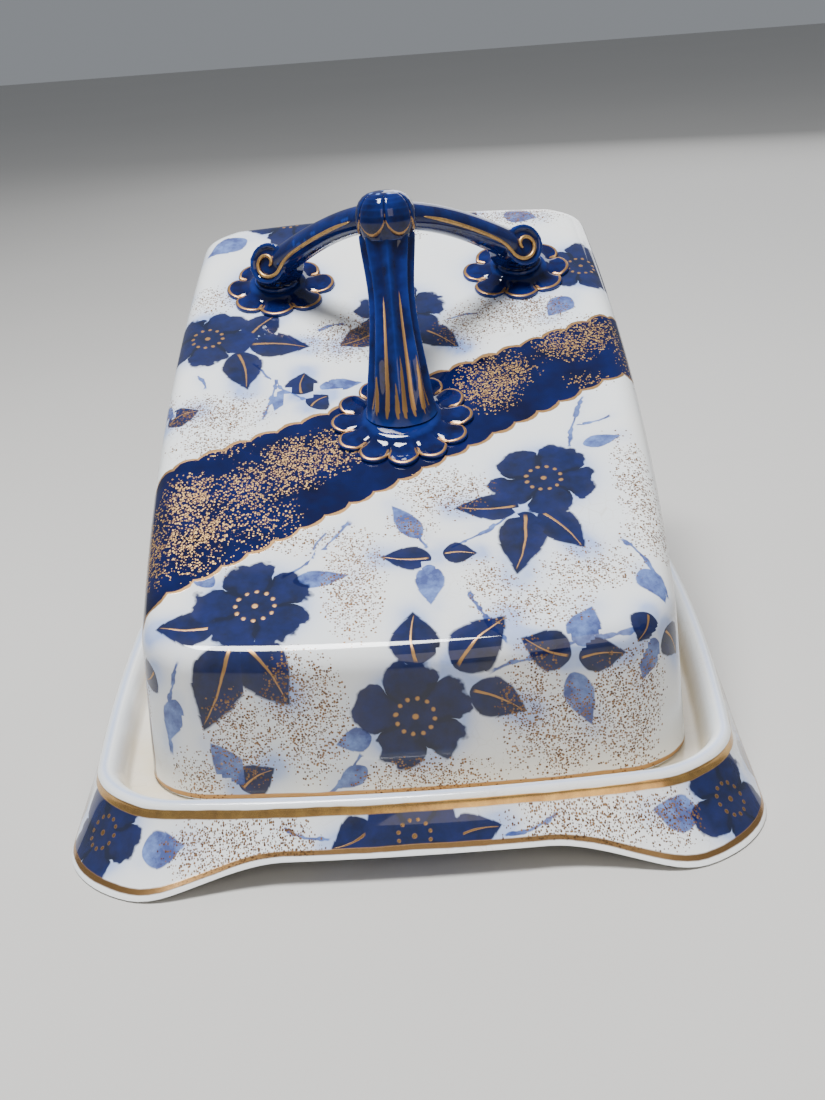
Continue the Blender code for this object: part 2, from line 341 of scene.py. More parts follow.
def makeCover():
    s = coverShape
    centre = Vector((*s["centre"], 0))
    heights = [0.0, 0.006, 0.02, 0.04, 0.07, 0.11, 0.16, 0.22, 0.29, 0.36, 0.43, 0.5, 0.57, 0.64,
               0.71, 0.78, 0.85, 0.92, 0.97]
    turns = [k / 8 for k in range(9)]
    shares = [0.97, 0.93, 0.88, 0.83, 0.77, 0.71, 0.65, 0.58, 0.51, 0.44, 0.37, 0.3, 0.23, 0.16, 0.09, 0.03]
    outer = coverSkin(0.0, 0.0, s["shoulder"], heights, turns, shares)
    innerDrop = s["wall"] / math.cos(slope)
    inner = coverSkin(s["wall"], innerDrop, s["shoulder"] - s["wall"] / 2,
                      [0.0, 0.02, 0.2, 0.5, 0.8], [0, 0.25, 0.5, 0.75, 1], [0.9, 0.6, 0.3, 0.05])
    rings, marks = [], {"sheetA": [], "sheetB": [], "rise": [], "outer": []}

    def addRing(ring, isOuter, inset=0.0, lift=0.0):
        rings.append([at + centre + Vector((*(-n * inset), lift)) for at, n, far, edge in ring])
        marks["sheetA"].append([edge[0] + n.x * far for at, n, far, edge in ring])
        marks["sheetB"].append([edge[1] / math.cos(slope) + n.y * far for at, n, far, edge in ring])
        marks["rise"].append([at.z - coverLow.z + lift for at, n, far, edge in ring])
        marks["outer"].append(isOuter)

    for ring in reversed(inner):
        addRing(ring, 0.0, lift=0.7 * mm if ring is inner[0] else 0.0)
    addRing(inner[0], 0.0, inset=-0.7 * mm)  # the foot's edge is rounded off
    addRing(outer[0], 0.0, inset=1.2 * mm)
    addRing(outer[0], 1.0, inset=0.35 * mm, lift=0.2 * mm)
    addRing(outer[0], 1.0, inset=0.0, lift=0.9 * mm)
    for ring in outer[2:]:
        addRing(ring, 1.0)
    return subdivided(extrudeRings("cover_glazed", rings, marks))


cover = makeCover()
print("cover shaped:", len(cover.data.polygons), "faces")


# handle

crownLow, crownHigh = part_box("handle_crown")
crownFoot = Vector(((crownLow.x + crownHigh.x) / 2, (crownLow.y + crownHigh.y) / 2, crownLow.z))
crownHeight = crownHigh.z - crownLow.z
seats = {"front": (0.8 * mm, -17.4 * mm), "left": (-40.4 * mm, 56.0 * mm), "right": (43.0 * mm, 56.0 * mm)}
rosetteThick = 3.0 * mm


def sweepRings(path, sizes, normals, around, level=False, cut=None):
    # oval sections along a path, each square to its normal; cut(turn, k) grooves a section
    rings = []
    for k, (at, (wide, deep), normal) in enumerate(zip(path, sizes, normals)):
        normal = normal.normalized()
        across = Vector((normal.y, -normal.x, 0))
        if level or across.length < 0.2:
            across = Vector((1, 0, 0)) - normal * normal.x
        across.normalize()
        out = normal.cross(across)
        ring = []
        for i in range(around):
            turn = math.tau * i / around
            keep = cut(turn, k) if cut else 1.0
            ring.append(at + across * (wide * keep * math.cos(turn)) + out * (deep * keep * math.sin(turn)))
        rings.append(ring)
    return rings


legShape = {
    "halfBase": (10.6 * mm, 7.4 * mm),
    "halfWaist": (7.3 * mm, 6.2 * mm),
    "halfTop": (9.0 * mm, 7.4 * mm),
    "leaves": Vector((0, -2.0 * mm, 17.0 * mm)),
    "arrives": Vector((0, -6.0 * mm, -15.0 * mm)),
    "flutes": 12,
    "fluteDepth": 0.19,
    "frontRib": 0.38,  # how much wider the ribs are at the front than at the sides
    # gilt strokes: degrees from the front, and where along the leg each begins and ends
    "strokes": ((-25, 0.07, 0.60), (25, 0.07, 0.62), (-5, 0.07, 0.20), (8, 0.07, 0.30), (43, 0.08, 0.30),
                (62, 0.09, 0.50), (-44, 0.08, 0.24), (-62, 0.09, 0.48), (88, 0.1, 0.4), (-88, 0.1, 0.4)),
    "strokeHalf": (0.62 * mm, 0.26 * mm),  # half a stroke's width at its foot and at its tip
    "hem": 0.09,  # how much wider the foot is where it meets the rosette
    "intoRosette": 0.9 * mm,
    "intoCrown": 2.4 * mm,
    "around": 192,
    "along": 44,
}


def makeLeg():
    s = legShape
    foot = onTop(*seats["front"], rosetteThick - s["intoRosette"])
    head = crownFoot + Vector((0, 0, s["intoCrown"]))
    curve = (foot, foot + s["leaves"], head + s["arrives"], head)
    path, sizes, normals, stops = [], [], [], []
    for k in range(s["along"] + 1):
        t = k / s["along"]
        ahead = bezier(curve, min(t + 0.01, 1.0)) - bezier(curve, max(t - 0.01, 0.0))
        if t < 0.5:
            normal = slopeNormal.lerp(ahead.normalized(), min(1.0, t * 5))
        else:
            normal = ahead.normalized().lerp(Vector((0, 0, 1)), smooth(t, 0.6, 1.0))
        flare, crest = 1 - smooth(t, 0.0, 0.6), smooth(t, 0.6, 1.0)
        hem = s["hem"] * (1 - smooth(t, 0.0, 0.16)) ** 2 - 0.12 * smooth(t, 0.97, 1.0)
        sizes.append([w * (1 + hem) + (b - w) * flare + (c - w) * crest
                      for w, b, c in zip(s["halfWaist"], s["halfBase"], s["halfTop"])])
        path.append(bezier(curve, t))
        normals.append(normal)
        stops.append(t)

    def flute(turn):
        # 0 on a rib and 1 in a groove; the ribs are widest at the front
        fromFront = turn + math.pi / 2
        place = s["flutes"] * (fromFront - s["frontRib"] * math.sin(fromFront)) / math.tau
        return abs(math.sin(math.pi * place))

    def cut(turn, k):
        fade = smooth(stops[k], 0.0, 0.18) * (1 - 0.35 * smooth(stops[k], 0.8, 1.0))
        return 1 - s["fluteDepth"] * fade * flute(turn) ** 1.6

    rings = sweepRings(path, sizes, normals, s["around"], level=True, cut=cut)
    gilt = []
    for t, (wide, deep) in zip(stops, sizes):
        row = []
        for i in range(s["around"]):
            fromFront = (math.degrees(math.tau * i / s["around"]) + 270) % 360 - 180
            best = 0.0
            for place, begins, ends in s["strokes"]:
                half = blendTo(*s["strokeHalf"], smooth(t, begins, ends))
                half *= smooth(t, begins - 0.02, begins + 0.015) * (1 - smooth(t, ends - 0.08, ends))
                off = abs(fromFront - place) * math.pi / 180 * (wide + deep) / 2
                best = max(best, 1 - smooth(off, half - 0.1 * mm, half + 0.25 * mm) if half > 0 else 0.0)
            row.append(best)
        gilt.append(row)
    return extrudeRings("leg_fluted", rings, {"gilt": gilt})


crownShape = {
    "profile": ((0.0, 0.88), (0.12, 0.93), (0.26, 0.975), (0.4, 1.0), (0.54, 0.985), (0.68, 0.93),
                (0.80, 0.83), (0.89, 0.70), (0.95, 0.54), (0.985, 0.32), (1.0, 0.03)),
    "petals": 6,
    "petalFoot": 0.10,  # how far down the petals reach, as a share of the height
    "petalNotch": 0.42,
    "petalRaise": 0.55 * mm,
    "pearls": 8,  # pale dots round the small flower on top
    "pearlReach": 0.42,
    "pearlEdge": (0.45 * mm, 0.75 * mm),
    "around": 192,
    "along": 66,
}


def makeCrown():
    s = crownShape
    pearls, pearlReach = s["pearls"], s["pearlReach"]
    radius = (crownHigh.x - crownLow.x) / 2 / 1.02 - s["petalRaise"] * 0.5
    rings, gilt, pearl = [], [], []
    for k in range(s["along"] + 1):
        at = k / s["along"] * (len(s["profile"]) - 1)
        i = min(int(at), len(s["profile"]) - 2)
        low, high = s["profile"][i], s["profile"][i + 1]
        up, reach = (blendTo(low[n], high[n], at - i) for n in (0, 1))
        ring, row, dots = [], [], []
        for n in range(s["around"]):
            turn = math.tau * n / s["around"]
            aside = ((turn * pearls / math.tau) % 1.0 - 0.5) * math.tau / pearls * radius * pearlReach
            off = min(math.hypot(aside, (reach - pearlReach) * radius), reach * radius * 0.8)
            dots.append((1 - smooth(off, *s["pearlEdge"])) if up > 0.5 else 0.0)
            lobe = abs(math.sin(s["petals"] / 2 * (turn + math.pi / 2)))
            edge = s["petalFoot"] + s["petalNotch"] * (1 - lobe ** 0.5)
            above = (up - edge) * crownHeight  # distance over the petal's own edge
            crease = (1 - lobe) ** 6 * smooth(up, 0.3, 0.5) * (1 - smooth(up, 0.9, 1.0))
            raised = smooth(above, -0.15 * mm, 0.45 * mm) * (1 - 0.9 * crease) * smooth(reach, 0, 0.5)
            r = radius * reach + s["petalRaise"] * raised
            ring.append(crownFoot + Vector((r * math.cos(turn), r * math.sin(turn), crownHeight * up)))
            row.append(smooth(above, -0.1 * mm, 0.2 * mm) * (1 - smooth(above, 0.9 * mm, 1.3 * mm)))
        rings.append(ring)
        gilt.append(row)
        pearl.append(dots)
    return extrudeRings("crown_petalled", rings, {"gilt": gilt, "pearl": pearl})


rosetteShape = {
    "boss": 0.55,  # the boss's share of the radius
    "notch": 0.40,
    "round": 0.65,
    "creaseDepth": 0.55 * mm,
    "pointsPerPetal": 24,
    # share of a petal's reach and height, from under the plate out over its edge and in to the boss
    "profile": ((0.2, -0.2), (0.97, -0.2), (1.0, 0.1), (1.0, 0.45), (1.0, 0.8), (0.985, 1.1),
                (0.96, 1.28), (0.92, 1.36), (0.88, 1.38), (0.84, 1.36), (0.79, 1.33), (0.72, 1.31),
                (0.62, 1.31), (0.5, 1.34), (0.36, 1.42), (0.2, 1.62), (0.08, 1.95), (0.0, 2.4)),
    "bossProfile": ((0.97, 2.6), (0.92, 2.85), (0.85, 2.98), (0.7, 3.0), (0.3, 3.0), (0.05, 3.0)),
}


def makeRosette(name, seat, radius, petals, lengths=(1.0,)):
    s = rosetteShape
    boss, steps = radius * s["boss"], petals * s["pointsPerPetal"]
    lift = Matrix.Translation(onTop(*seat)) @ Matrix.Rotation(slope, 4, "X")
    rings, gilt = [], []
    for reach, height in s["profile"]:
        ring, row = [], []
        for i in range(steps):
            turn = math.tau * i / steps
            lobe = abs(math.cos(turn * petals / 2))
            long = lengths[int(turn * petals / math.tau + 0.5) % len(lengths)]
            shape = 1 - s["notch"] + s["notch"] * lobe ** s["round"]
            shape *= blendTo(1.0, long, smooth(lobe, 0.0, 0.6))
            r = boss + (radius - boss) * reach * shape
            crease = (1 - lobe) ** 3 * smooth(reach, 0.1, 0.4)
            z = height * mm if height < 1.0 else height * mm - s["creaseDepth"] * crease
            ring.append(lift @ Vector((r * math.cos(turn), r * math.sin(turn), z)))
            fromEdge = (1 - reach) * (radius - boss) * shape
            rim = smooth(fromEdge, 0.1 * mm, 0.35 * mm) * (1 - smooth(fromEdge, 0.95 * mm, 1.3 * mm))
            side = smooth(lobe, 0.05, 0.10) * (1 - smooth(lobe, 0.22, 0.30)) * smooth(reach, 0.35, 0.5)
            row.append(max(rim, side) if height > 1.2 else 0.0)
        rings.append(ring)
        gilt.append(row)
    for share, height in s["bossProfile"]:
        rings.append([lift @ Vector((boss * share * math.cos(math.tau * i / steps),
                                     boss * share * math.sin(math.tau * i / steps), height * mm))
                      for i in range(steps)])
        gilt.append(0.0)
    return extrudeRings(name, rings, {"gilt": gilt})


armShape = {
    "halfStart": (4.6 * mm, 4.5 * mm),
    "halfEnd": (5.2 * mm, 4.9 * mm),
    "drumRadius": 6.9 * mm,
    "drumDepth": 13.6 * mm,
    "scrollRise": 6.6 * mm,  # height of the scroll's middle over its rosette
    "collarRadius": 7.9 * mm,
    # the neck and two collars: share of the collar's radius, then their bottoms and tops over the rosette
    "collars": ((0.80, -0.6, 5.0), (1.0, -0.3, 1.3), (0.94, 2.2, 3.6)),
    "faceInsets": ((1.3, 0.0), (0.8, -0.9), (2.2, 0.5)),  # thickness and depth, dishing the scroll's face
    "facing": Vector((0.42, -0.86, 0.28)).normalized(),  # where the right scroll looks
    "clay": 0.42 * mm,  # voxel that melts the parts of an arm together
    "lineRadius": 0.62 * mm,
    "lineSpan": (0.13, 0.75),  # how far along the arm the gilt line runs
    "curl": (172, 592),  # degrees round the scroll's face
    "curlReach": (6.0 * mm, 1.1 * mm),
    "tubeAround": 40,
    "lineAround": 12,
}


def armCurve(side):
    s = armShape
    seat = seats["right"] if side > 0 else seats["left"]
    foot = onTop(*seat, rosetteThick)
    start = crownFoot + Vector((side * 3.0 * mm, 3.0 * mm, crownHeight * 0.40))
    scroll = foot + slopeNormal * s["scrollRise"] - Vector((side * 0.8 * mm, 1.8 * mm, 0))
    out = Vector((scroll.x - start.x, scroll.y - start.y, 0))
    curve = (start, start + out * 0.35 - Vector((0, 0, 1.5 * mm)),
             scroll - out * 0.25 + Vector((0, 0, 7.0 * mm)), scroll)
    facing = Vector((side * s["facing"].x, s["facing"].y, s["facing"].z))
    return curve, foot, scroll, facing


def armSize(t):
    s = armShape
    grow = smooth(t, 0.3, 1.0)
    return [blendTo(a, b, grow) for a, b in zip(s["halfStart"], s["halfEnd"])]


def makeArm(name, side):
    s = armShape
    curve, foot, scroll, facing = armCurve(side)
    path, sizes, normals = [], [], []
    for k in range(31):
        t = k / 30
        ahead = bezier(curve, min(t + 0.01, 1.0)) - bezier(curve, max(t - 0.01, 0.0))
        path.append(bezier(curve, t))
        sizes.append(armSize(t))
        normals.append(ahead.normalized())
    arm = extrudeRings(name, sweepRings(path, sizes, normals, s["tubeAround"]))
    parts = [arm]
    # the rolled end: a drum whose face looks forward, dished in the middle by an inset
    deselectAll()
    bpy.ops.mesh.primitive_cylinder_add(vertices=48, radius=s["drumRadius"], depth=s["drumDepth"],
                                        location=scroll)
    drum = bpy.context.object
    drum.rotation_mode = "QUATERNION"
    drum.rotation_quaternion = facing.to_track_quat("Z", "Y")
    bpy.ops.object.transform_apply(location=True, rotation=True, scale=True)
    bpy.ops.object.mode_set(mode="EDIT")
    bpy.ops.mesh.select_mode(type="FACE")
    bpy.ops.mesh.select_all(action="DESELECT")
    mesh = bmesh.from_edit_mesh(drum.data)
    mesh.normal_update()
    for face in mesh.faces:
        face.select = len(face.verts) > 4 and face.normal.dot(facing) > 0.5
    bmesh.update_edit_mesh(drum.data)
    for thickness, depth in s["faceInsets"]:
        bpy.ops.mesh.inset(thickness=thickness * mm, depth=depth * mm)
    bpy.ops.object.mode_set(mode="OBJECT")
    parts.append(drum)
    for wide, low, high in s["collars"]:
        deselectAll()
        bpy.ops.mesh.primitive_cylinder_add(vertices=48, radius=s["collarRadius"] * wide,
                                            depth=(high - low) * mm,
                                            location=foot + slopeNormal * ((high + low) / 2 * mm))
        ringPart = bpy.context.object
        ringPart.rotation_euler = (slope, 0, 0)
        bpy.ops.object.transform_apply(location=True, rotation=True, scale=True)
        parts.append(ringPart)
    deselectAll()
    for part in parts:
        part.select_set(True)
    bpy.context.view_layer.objects.active = arm
    bpy.ops.object.join()
    applyModifier(arm, "REMESH", mode="VOXEL", voxel_size=s["clay"])
    applyModifier(arm, "SMOOTH", factor=0.5, iterations=5)
    return arm


def makeScrollLine(name, side):
    # the raised gilt line along the front of an arm, which curls in on the scroll's face
    s = armShape
    curve, _, scroll, facing = armCurve(side)
    points = []
    onArm, onScroll, joinFrom, joinTo = 24, 44, 19, 28
    for k in range(onArm):
        t = blendTo(*s["lineSpan"], k / (onArm - 1))
        along = (bezier(curve, t + 0.01) - bezier(curve, t - 0.01)).normalized()
        front = Vector((0, -1.0, 0.15))
        front = (front - along * front.dot(along)).normalized()
        deep = sum(armSize(t)) / 2
        points.append(bezier(curve, t) + front * (deep + 0.05 * mm))
    upward = (Vector((0, 0, 1)) - facing * facing.z).normalized()
    rightward = upward.cross(facing).normalized() * side  # mirrored on the left arm
    face = scroll + facing * (s["drumDepth"] / 2 - 0.1 * mm)
    for k in range(onScroll):
        t = k / (onScroll - 1)
        turn = math.radians(blendTo(*s["curl"], t))
        reach = blendTo(*s["curlReach"], t ** 0.8)
        points.append(face + rightward * (reach * math.cos(turn)) + upward * (reach * math.sin(turn)))
    for _ in range(6):  # eases the step from the arm on to the scroll's face
        for k in range(joinFrom, joinTo):
            points[k] = (points[k - 1] + points[k] * 2 + points[k + 1]) / 4
    path, normals, sizes = [], [], []
    for k, at in enumerate(points):
        before, after = points[max(k - 1, 0)], points[min(k + 1, len(points) - 1)]
        path.append(at)
        normals.append((after - before).normalized())
        ends = min(1.0, 0.35 + min(k, len(points) - 1 - k) * 0.12)
        sizes.append((s["lineRadius"] * ends, s["lineRadius"] * ends))
    return extrudeRings(name, sweepRings(path, sizes, normals, s["lineAround"]))


leg = makeLeg()
crown = makeCrown()
rosettes = [
    makeRosette("rosette_front", seats["front"], 22.2 * mm, 12),
    makeRosette("rosette_left", seats["left"], 18.0 * mm, 8,
                (1.2, 0.95, 0.95, 0.95, 1.0, 1.0, 1.0, 1.15)),
    makeRosette("rosette_right", seats["right"], 18.0 * mm, 8,
                (0.95, 1.0, 0.95, 0.95, 1.15, 1.2, 1.0, 0.95)),
]
arms = [makeArm("arm_left", -1), makeArm("arm_right", 1)]
scrollLines = [makeScrollLine("scroll_line_left", -1), makeScrollLine("scroll_line_right", 1)]
print("handle shaped")


# painted decoration
# Places are in millimetres as seen square on to a side: (x, y) on the top, (x, z) on the
# front and back, (y, z) on the left and right, all from the middle of the dish.

def surfacePlace(piece, spot):
    side, p, q = spot
    p, q, far = p * mm, q * mm, 0.4
    start, way = {
        "top": (Vector((p, q, far)), Vector((0, 0, -1))),
        "front": (Vector((p, -far, q)), Vector((0, 1, 0))),
        "back": (Vector((p, far, q)), Vector((0, -1, 0))),
        "left": (Vector((-far, p, q)), Vector((1, 0, 0))),
        "right": (Vector((far, p, q)), Vector((-1, 0, 0))),
    }[side]
    hit, at, normal, _ = piece.ray_cast(start, way)
    return (at, normal) if hit else None


def meshArrays(mesh):
    def read(items, field, width, kind=float):
        values = np.zeros(len(items) * width, kind)
        items.foreach_get(field, values)
        return values.reshape(-1, width) if width > 1 else values

    return {
        "points": read(mesh.vertices, "co", 3),
        "centres": read(mesh.polygons, "center", 3),
        "normals": read(mesh.polygons, "normal", 3),
        "corners": read(mesh.loops, "vertex_index", 1, int),
        "counts": read(mesh.polygons, "loop_total", 1, int),
    }


def motifFrame(at, along, normal, scale):
    normal = normal.normalized()
    along = (along - normal * along.dot(normal)).normalized()
    return {"at": np.array(at), "axes": np.array([along, normal.cross(along), normal]),
            "normal": np.array(normal), "scale": np.array(scale)}


def toLocal(points, frameOf):
    return (points - frameOf["at"]) @ frameOf["axes"].T


def segmentDistance(local, length):
    past = np.maximum(0, np.maximum(-local[:, 0], local[:, 0] - length))
    return np.sqrt(past ** 2 + local[:, 1] ** 2 + local[:, 2] ** 2)


def drawMap(mesh, arrays, name, motifs, distance):
    # each face takes the nearest motif, and its corners keep their place in that motif
    layer = mesh.uv_layers.new(name=name)
    best = np.full(len(arrays["centres"]), 1e6)
    pick = np.zeros(len(best), int)
    for i, motif in enumerate(motifs):
        far = distance(toLocal(arrays["centres"], motif), motif) * motif.get("yields", 1.0)
        far = far + 1e3 * (arrays["normals"] @ motif["normal"] < 0.25)
        closer = far < best
        best[closer], pick[closer] = far[closer], i
    faceOf = np.repeat(np.arange(len(best)), arrays["counts"])
    places = np.full((len(faceOf), 2), 9.0)
    corners = arrays["points"][arrays["corners"]]
    for i, motif in enumerate(motifs):
        mine = (pick[faceOf] == i) & (best[faceOf] < 999)
        places[mine] = toLocal(corners[mine], motif)[:, :2] / motif["scale"]
        if "bow" in motif:
            places[mine, 1] -= motif["bow"] / mm * np.sin(np.pi * places[mine, 0])
    layer.data.foreach_set("uv", places.astype(np.float32).ravel())
    return pick


brush = {
    "up": Vector((0, 0.8, 0.6)),  # the way that a bloom and a dusting stand
    "bloomFlow": 3.2 * mm,  # how far the blue runs round each motif
    "leafFlow": 2.6 * mm,
    "twigFlow": 2.0 * mm,
    "rosetteFlow": 3.5 * mm,
    "twigUnit": 1 * mm,
    "dustSpread": 1.12,
    "dustDepth": 9 * mm,  # a dusting doesn't reach round an edge further than this
}


def writeMark(mesh, name, values, domain="POINT"):
    mark = mesh.attributes.new(name, "FLOAT", domain)
    mark.data.foreach_set("value", np.asarray(values, np.float32))


def paintPlan(piece, plan):
    # turns the plan's blooms, leaves, twigs, specks and glows into maps and marks on the piece
    mesh = piece.data
    arrays = meshArrays(mesh)
    points = arrays["points"]
    haze = np.zeros(len(points))
    speck = np.zeros(len(points))
    blooms, leaves, twigs, tones = [], [], [], []
    for spot, radius, turn in plan["blooms"]:
        place = surfacePlace(piece, spot)
        if place:
            at, normal = place
            along = Matrix.Rotation(math.radians(turn), 3, normal) @ brush["up"]
            blooms.append(motifFrame(at, along, normal, (radius * mm, radius * mm)))
            far = np.maximum(0, np.linalg.norm(points - np.array(at), axis=1) - 0.80 * radius * mm)
            haze = np.maximum(haze, np.exp(-far / brush["bloomFlow"]))
    for base, tip, half, tone in plan["leaves"]:
        ends = surfacePlace(piece, base), surfacePlace(piece, tip)
        if all(ends):
            (a, na), (b, nb) = ends
            leaf = motifFrame(a, b - a, na + nb, ((b - a).length, half * mm))
            leaf["yields"] = 1.5 - 0.5 * tone  # where leaves overlap, a pale one is behind
            leaves.append(leaf)
            tones.append(tone)
            far = segmentDistance(toLocal(points, leaf), (b - a).length) - 0.6 * half * mm
            flow = np.exp(-np.maximum(0, far) / brush["leafFlow"])
            haze = np.maximum(haze, blendTo(0.45, 1.0, tone) * flow)
    for base, tip, bow in plan["twigs"]:
        ends = surfacePlace(piece, base), surfacePlace(piece, tip)
        if all(ends):
            (a, na), (b, nb) = ends
            twig = motifFrame(a, b - a, na + nb, ((b - a).length, brush["twigUnit"]))
            twig["bow"] = bow * mm
            twigs.append(twig)
            far = segmentDistance(toLocal(points, twig), (b - a).length)
            haze = np.maximum(haze, 0.4 * np.exp(-far / brush["twigFlow"]))
    for spot, across, along, strength in plan["specks"]:
        place = surfacePlace(piece, spot)
        if place:
            at, normal = place
            high, wide = along * brush["dustSpread"] * mm, across * brush["dustSpread"] * mm
            local = toLocal(points, motifFrame(at, brush["up"], normal, (high, wide)))
            far = np.sqrt((local[:, 0] / high) ** 2 + (local[:, 1] / wide) ** 2
                          + (local[:, 2] / brush["dustDepth"]) ** 2)
            speck = np.maximum(speck, strength * np.clip(1.15 - far, 0, 1) ** 0.8)
    drawMap(mesh, arrays, "bloomMap", blooms,
            lambda local, m: np.linalg.norm(local, axis=1) / m["scale"][0])
    pick = drawMap(mesh, arrays, "leafMap", leaves,
                   lambda local, m: segmentDistance(local, m["scale"][0]) / m["scale"][1])
    drawMap(mesh, arrays, "twigMap", twigs, lambda local, m: segmentDistance(local, m["scale"][0]))
    writeMark(mesh, "leafTone", np.array(tones)[pick], "FACE")
    for place, reach in plan["glows"]:  # the blue that has run round a whole ornament
        far = np.maximum(0, np.linalg.norm(points - np.array(place), axis=1) - reach)
        haze = np.maximum(haze, 0.9 * np.exp(-far / brush["rosetteFlow"]))
    writeMark(mesh, "haze", haze)
    writeMark(mesh, "speck", speck)
    print("painted", piece.name, len(blooms), "blooms", len(leaves), "leaves", len(twigs), "twigs")


def spray(side, p, q, size, turn, mirror=1):
    # one bloom with three dark leaves, two pale ones, a twig with buds and a dusting of gold
    def spot(dx, dy):
        a, k = math.radians(turn), size / 16.0
        x, y = dx * mirror * k, dy * k
        return (side, p + x * math.cos(a) - y * math.sin(a), q + x * math.sin(a) + y * math.cos(a))

    return {
        "blooms": [(spot(0, 0), size, turn + 20)],
        "leaves": [(spot(*base), spot(*tip), half * size / 16, tone) for base, tip, half, tone in (
            ((-8, -9), (-26, -8), 6, 1), ((-3, -12), (-9, -33), 6, 1), ((3, -12), (14, -29), 6, 1),
            ((14, 14), (26, 16), 3.2, 0), ((30, 10), (41, 13), 4.4, 1), ((29, 7), (38, -4), 3.6, 0))],
        "twigs": [(spot(10, 11), spot(22, 28), 1.5), (spot(13, 6), spot(31, 9), -1.2)],
        "specks": [(spot(22, -16), 15, 11, 0.6), (spot(-20, 20), 16, 9, 0.6)],
        "glows": [],
    }


def gather(*plans):
    return {key: [entry for plan in plans for entry in plan[key]] for key in plans[0]}


def top(x, y):
    return ("top", x, y)


def front(x, z):
    return ("front", x, z)


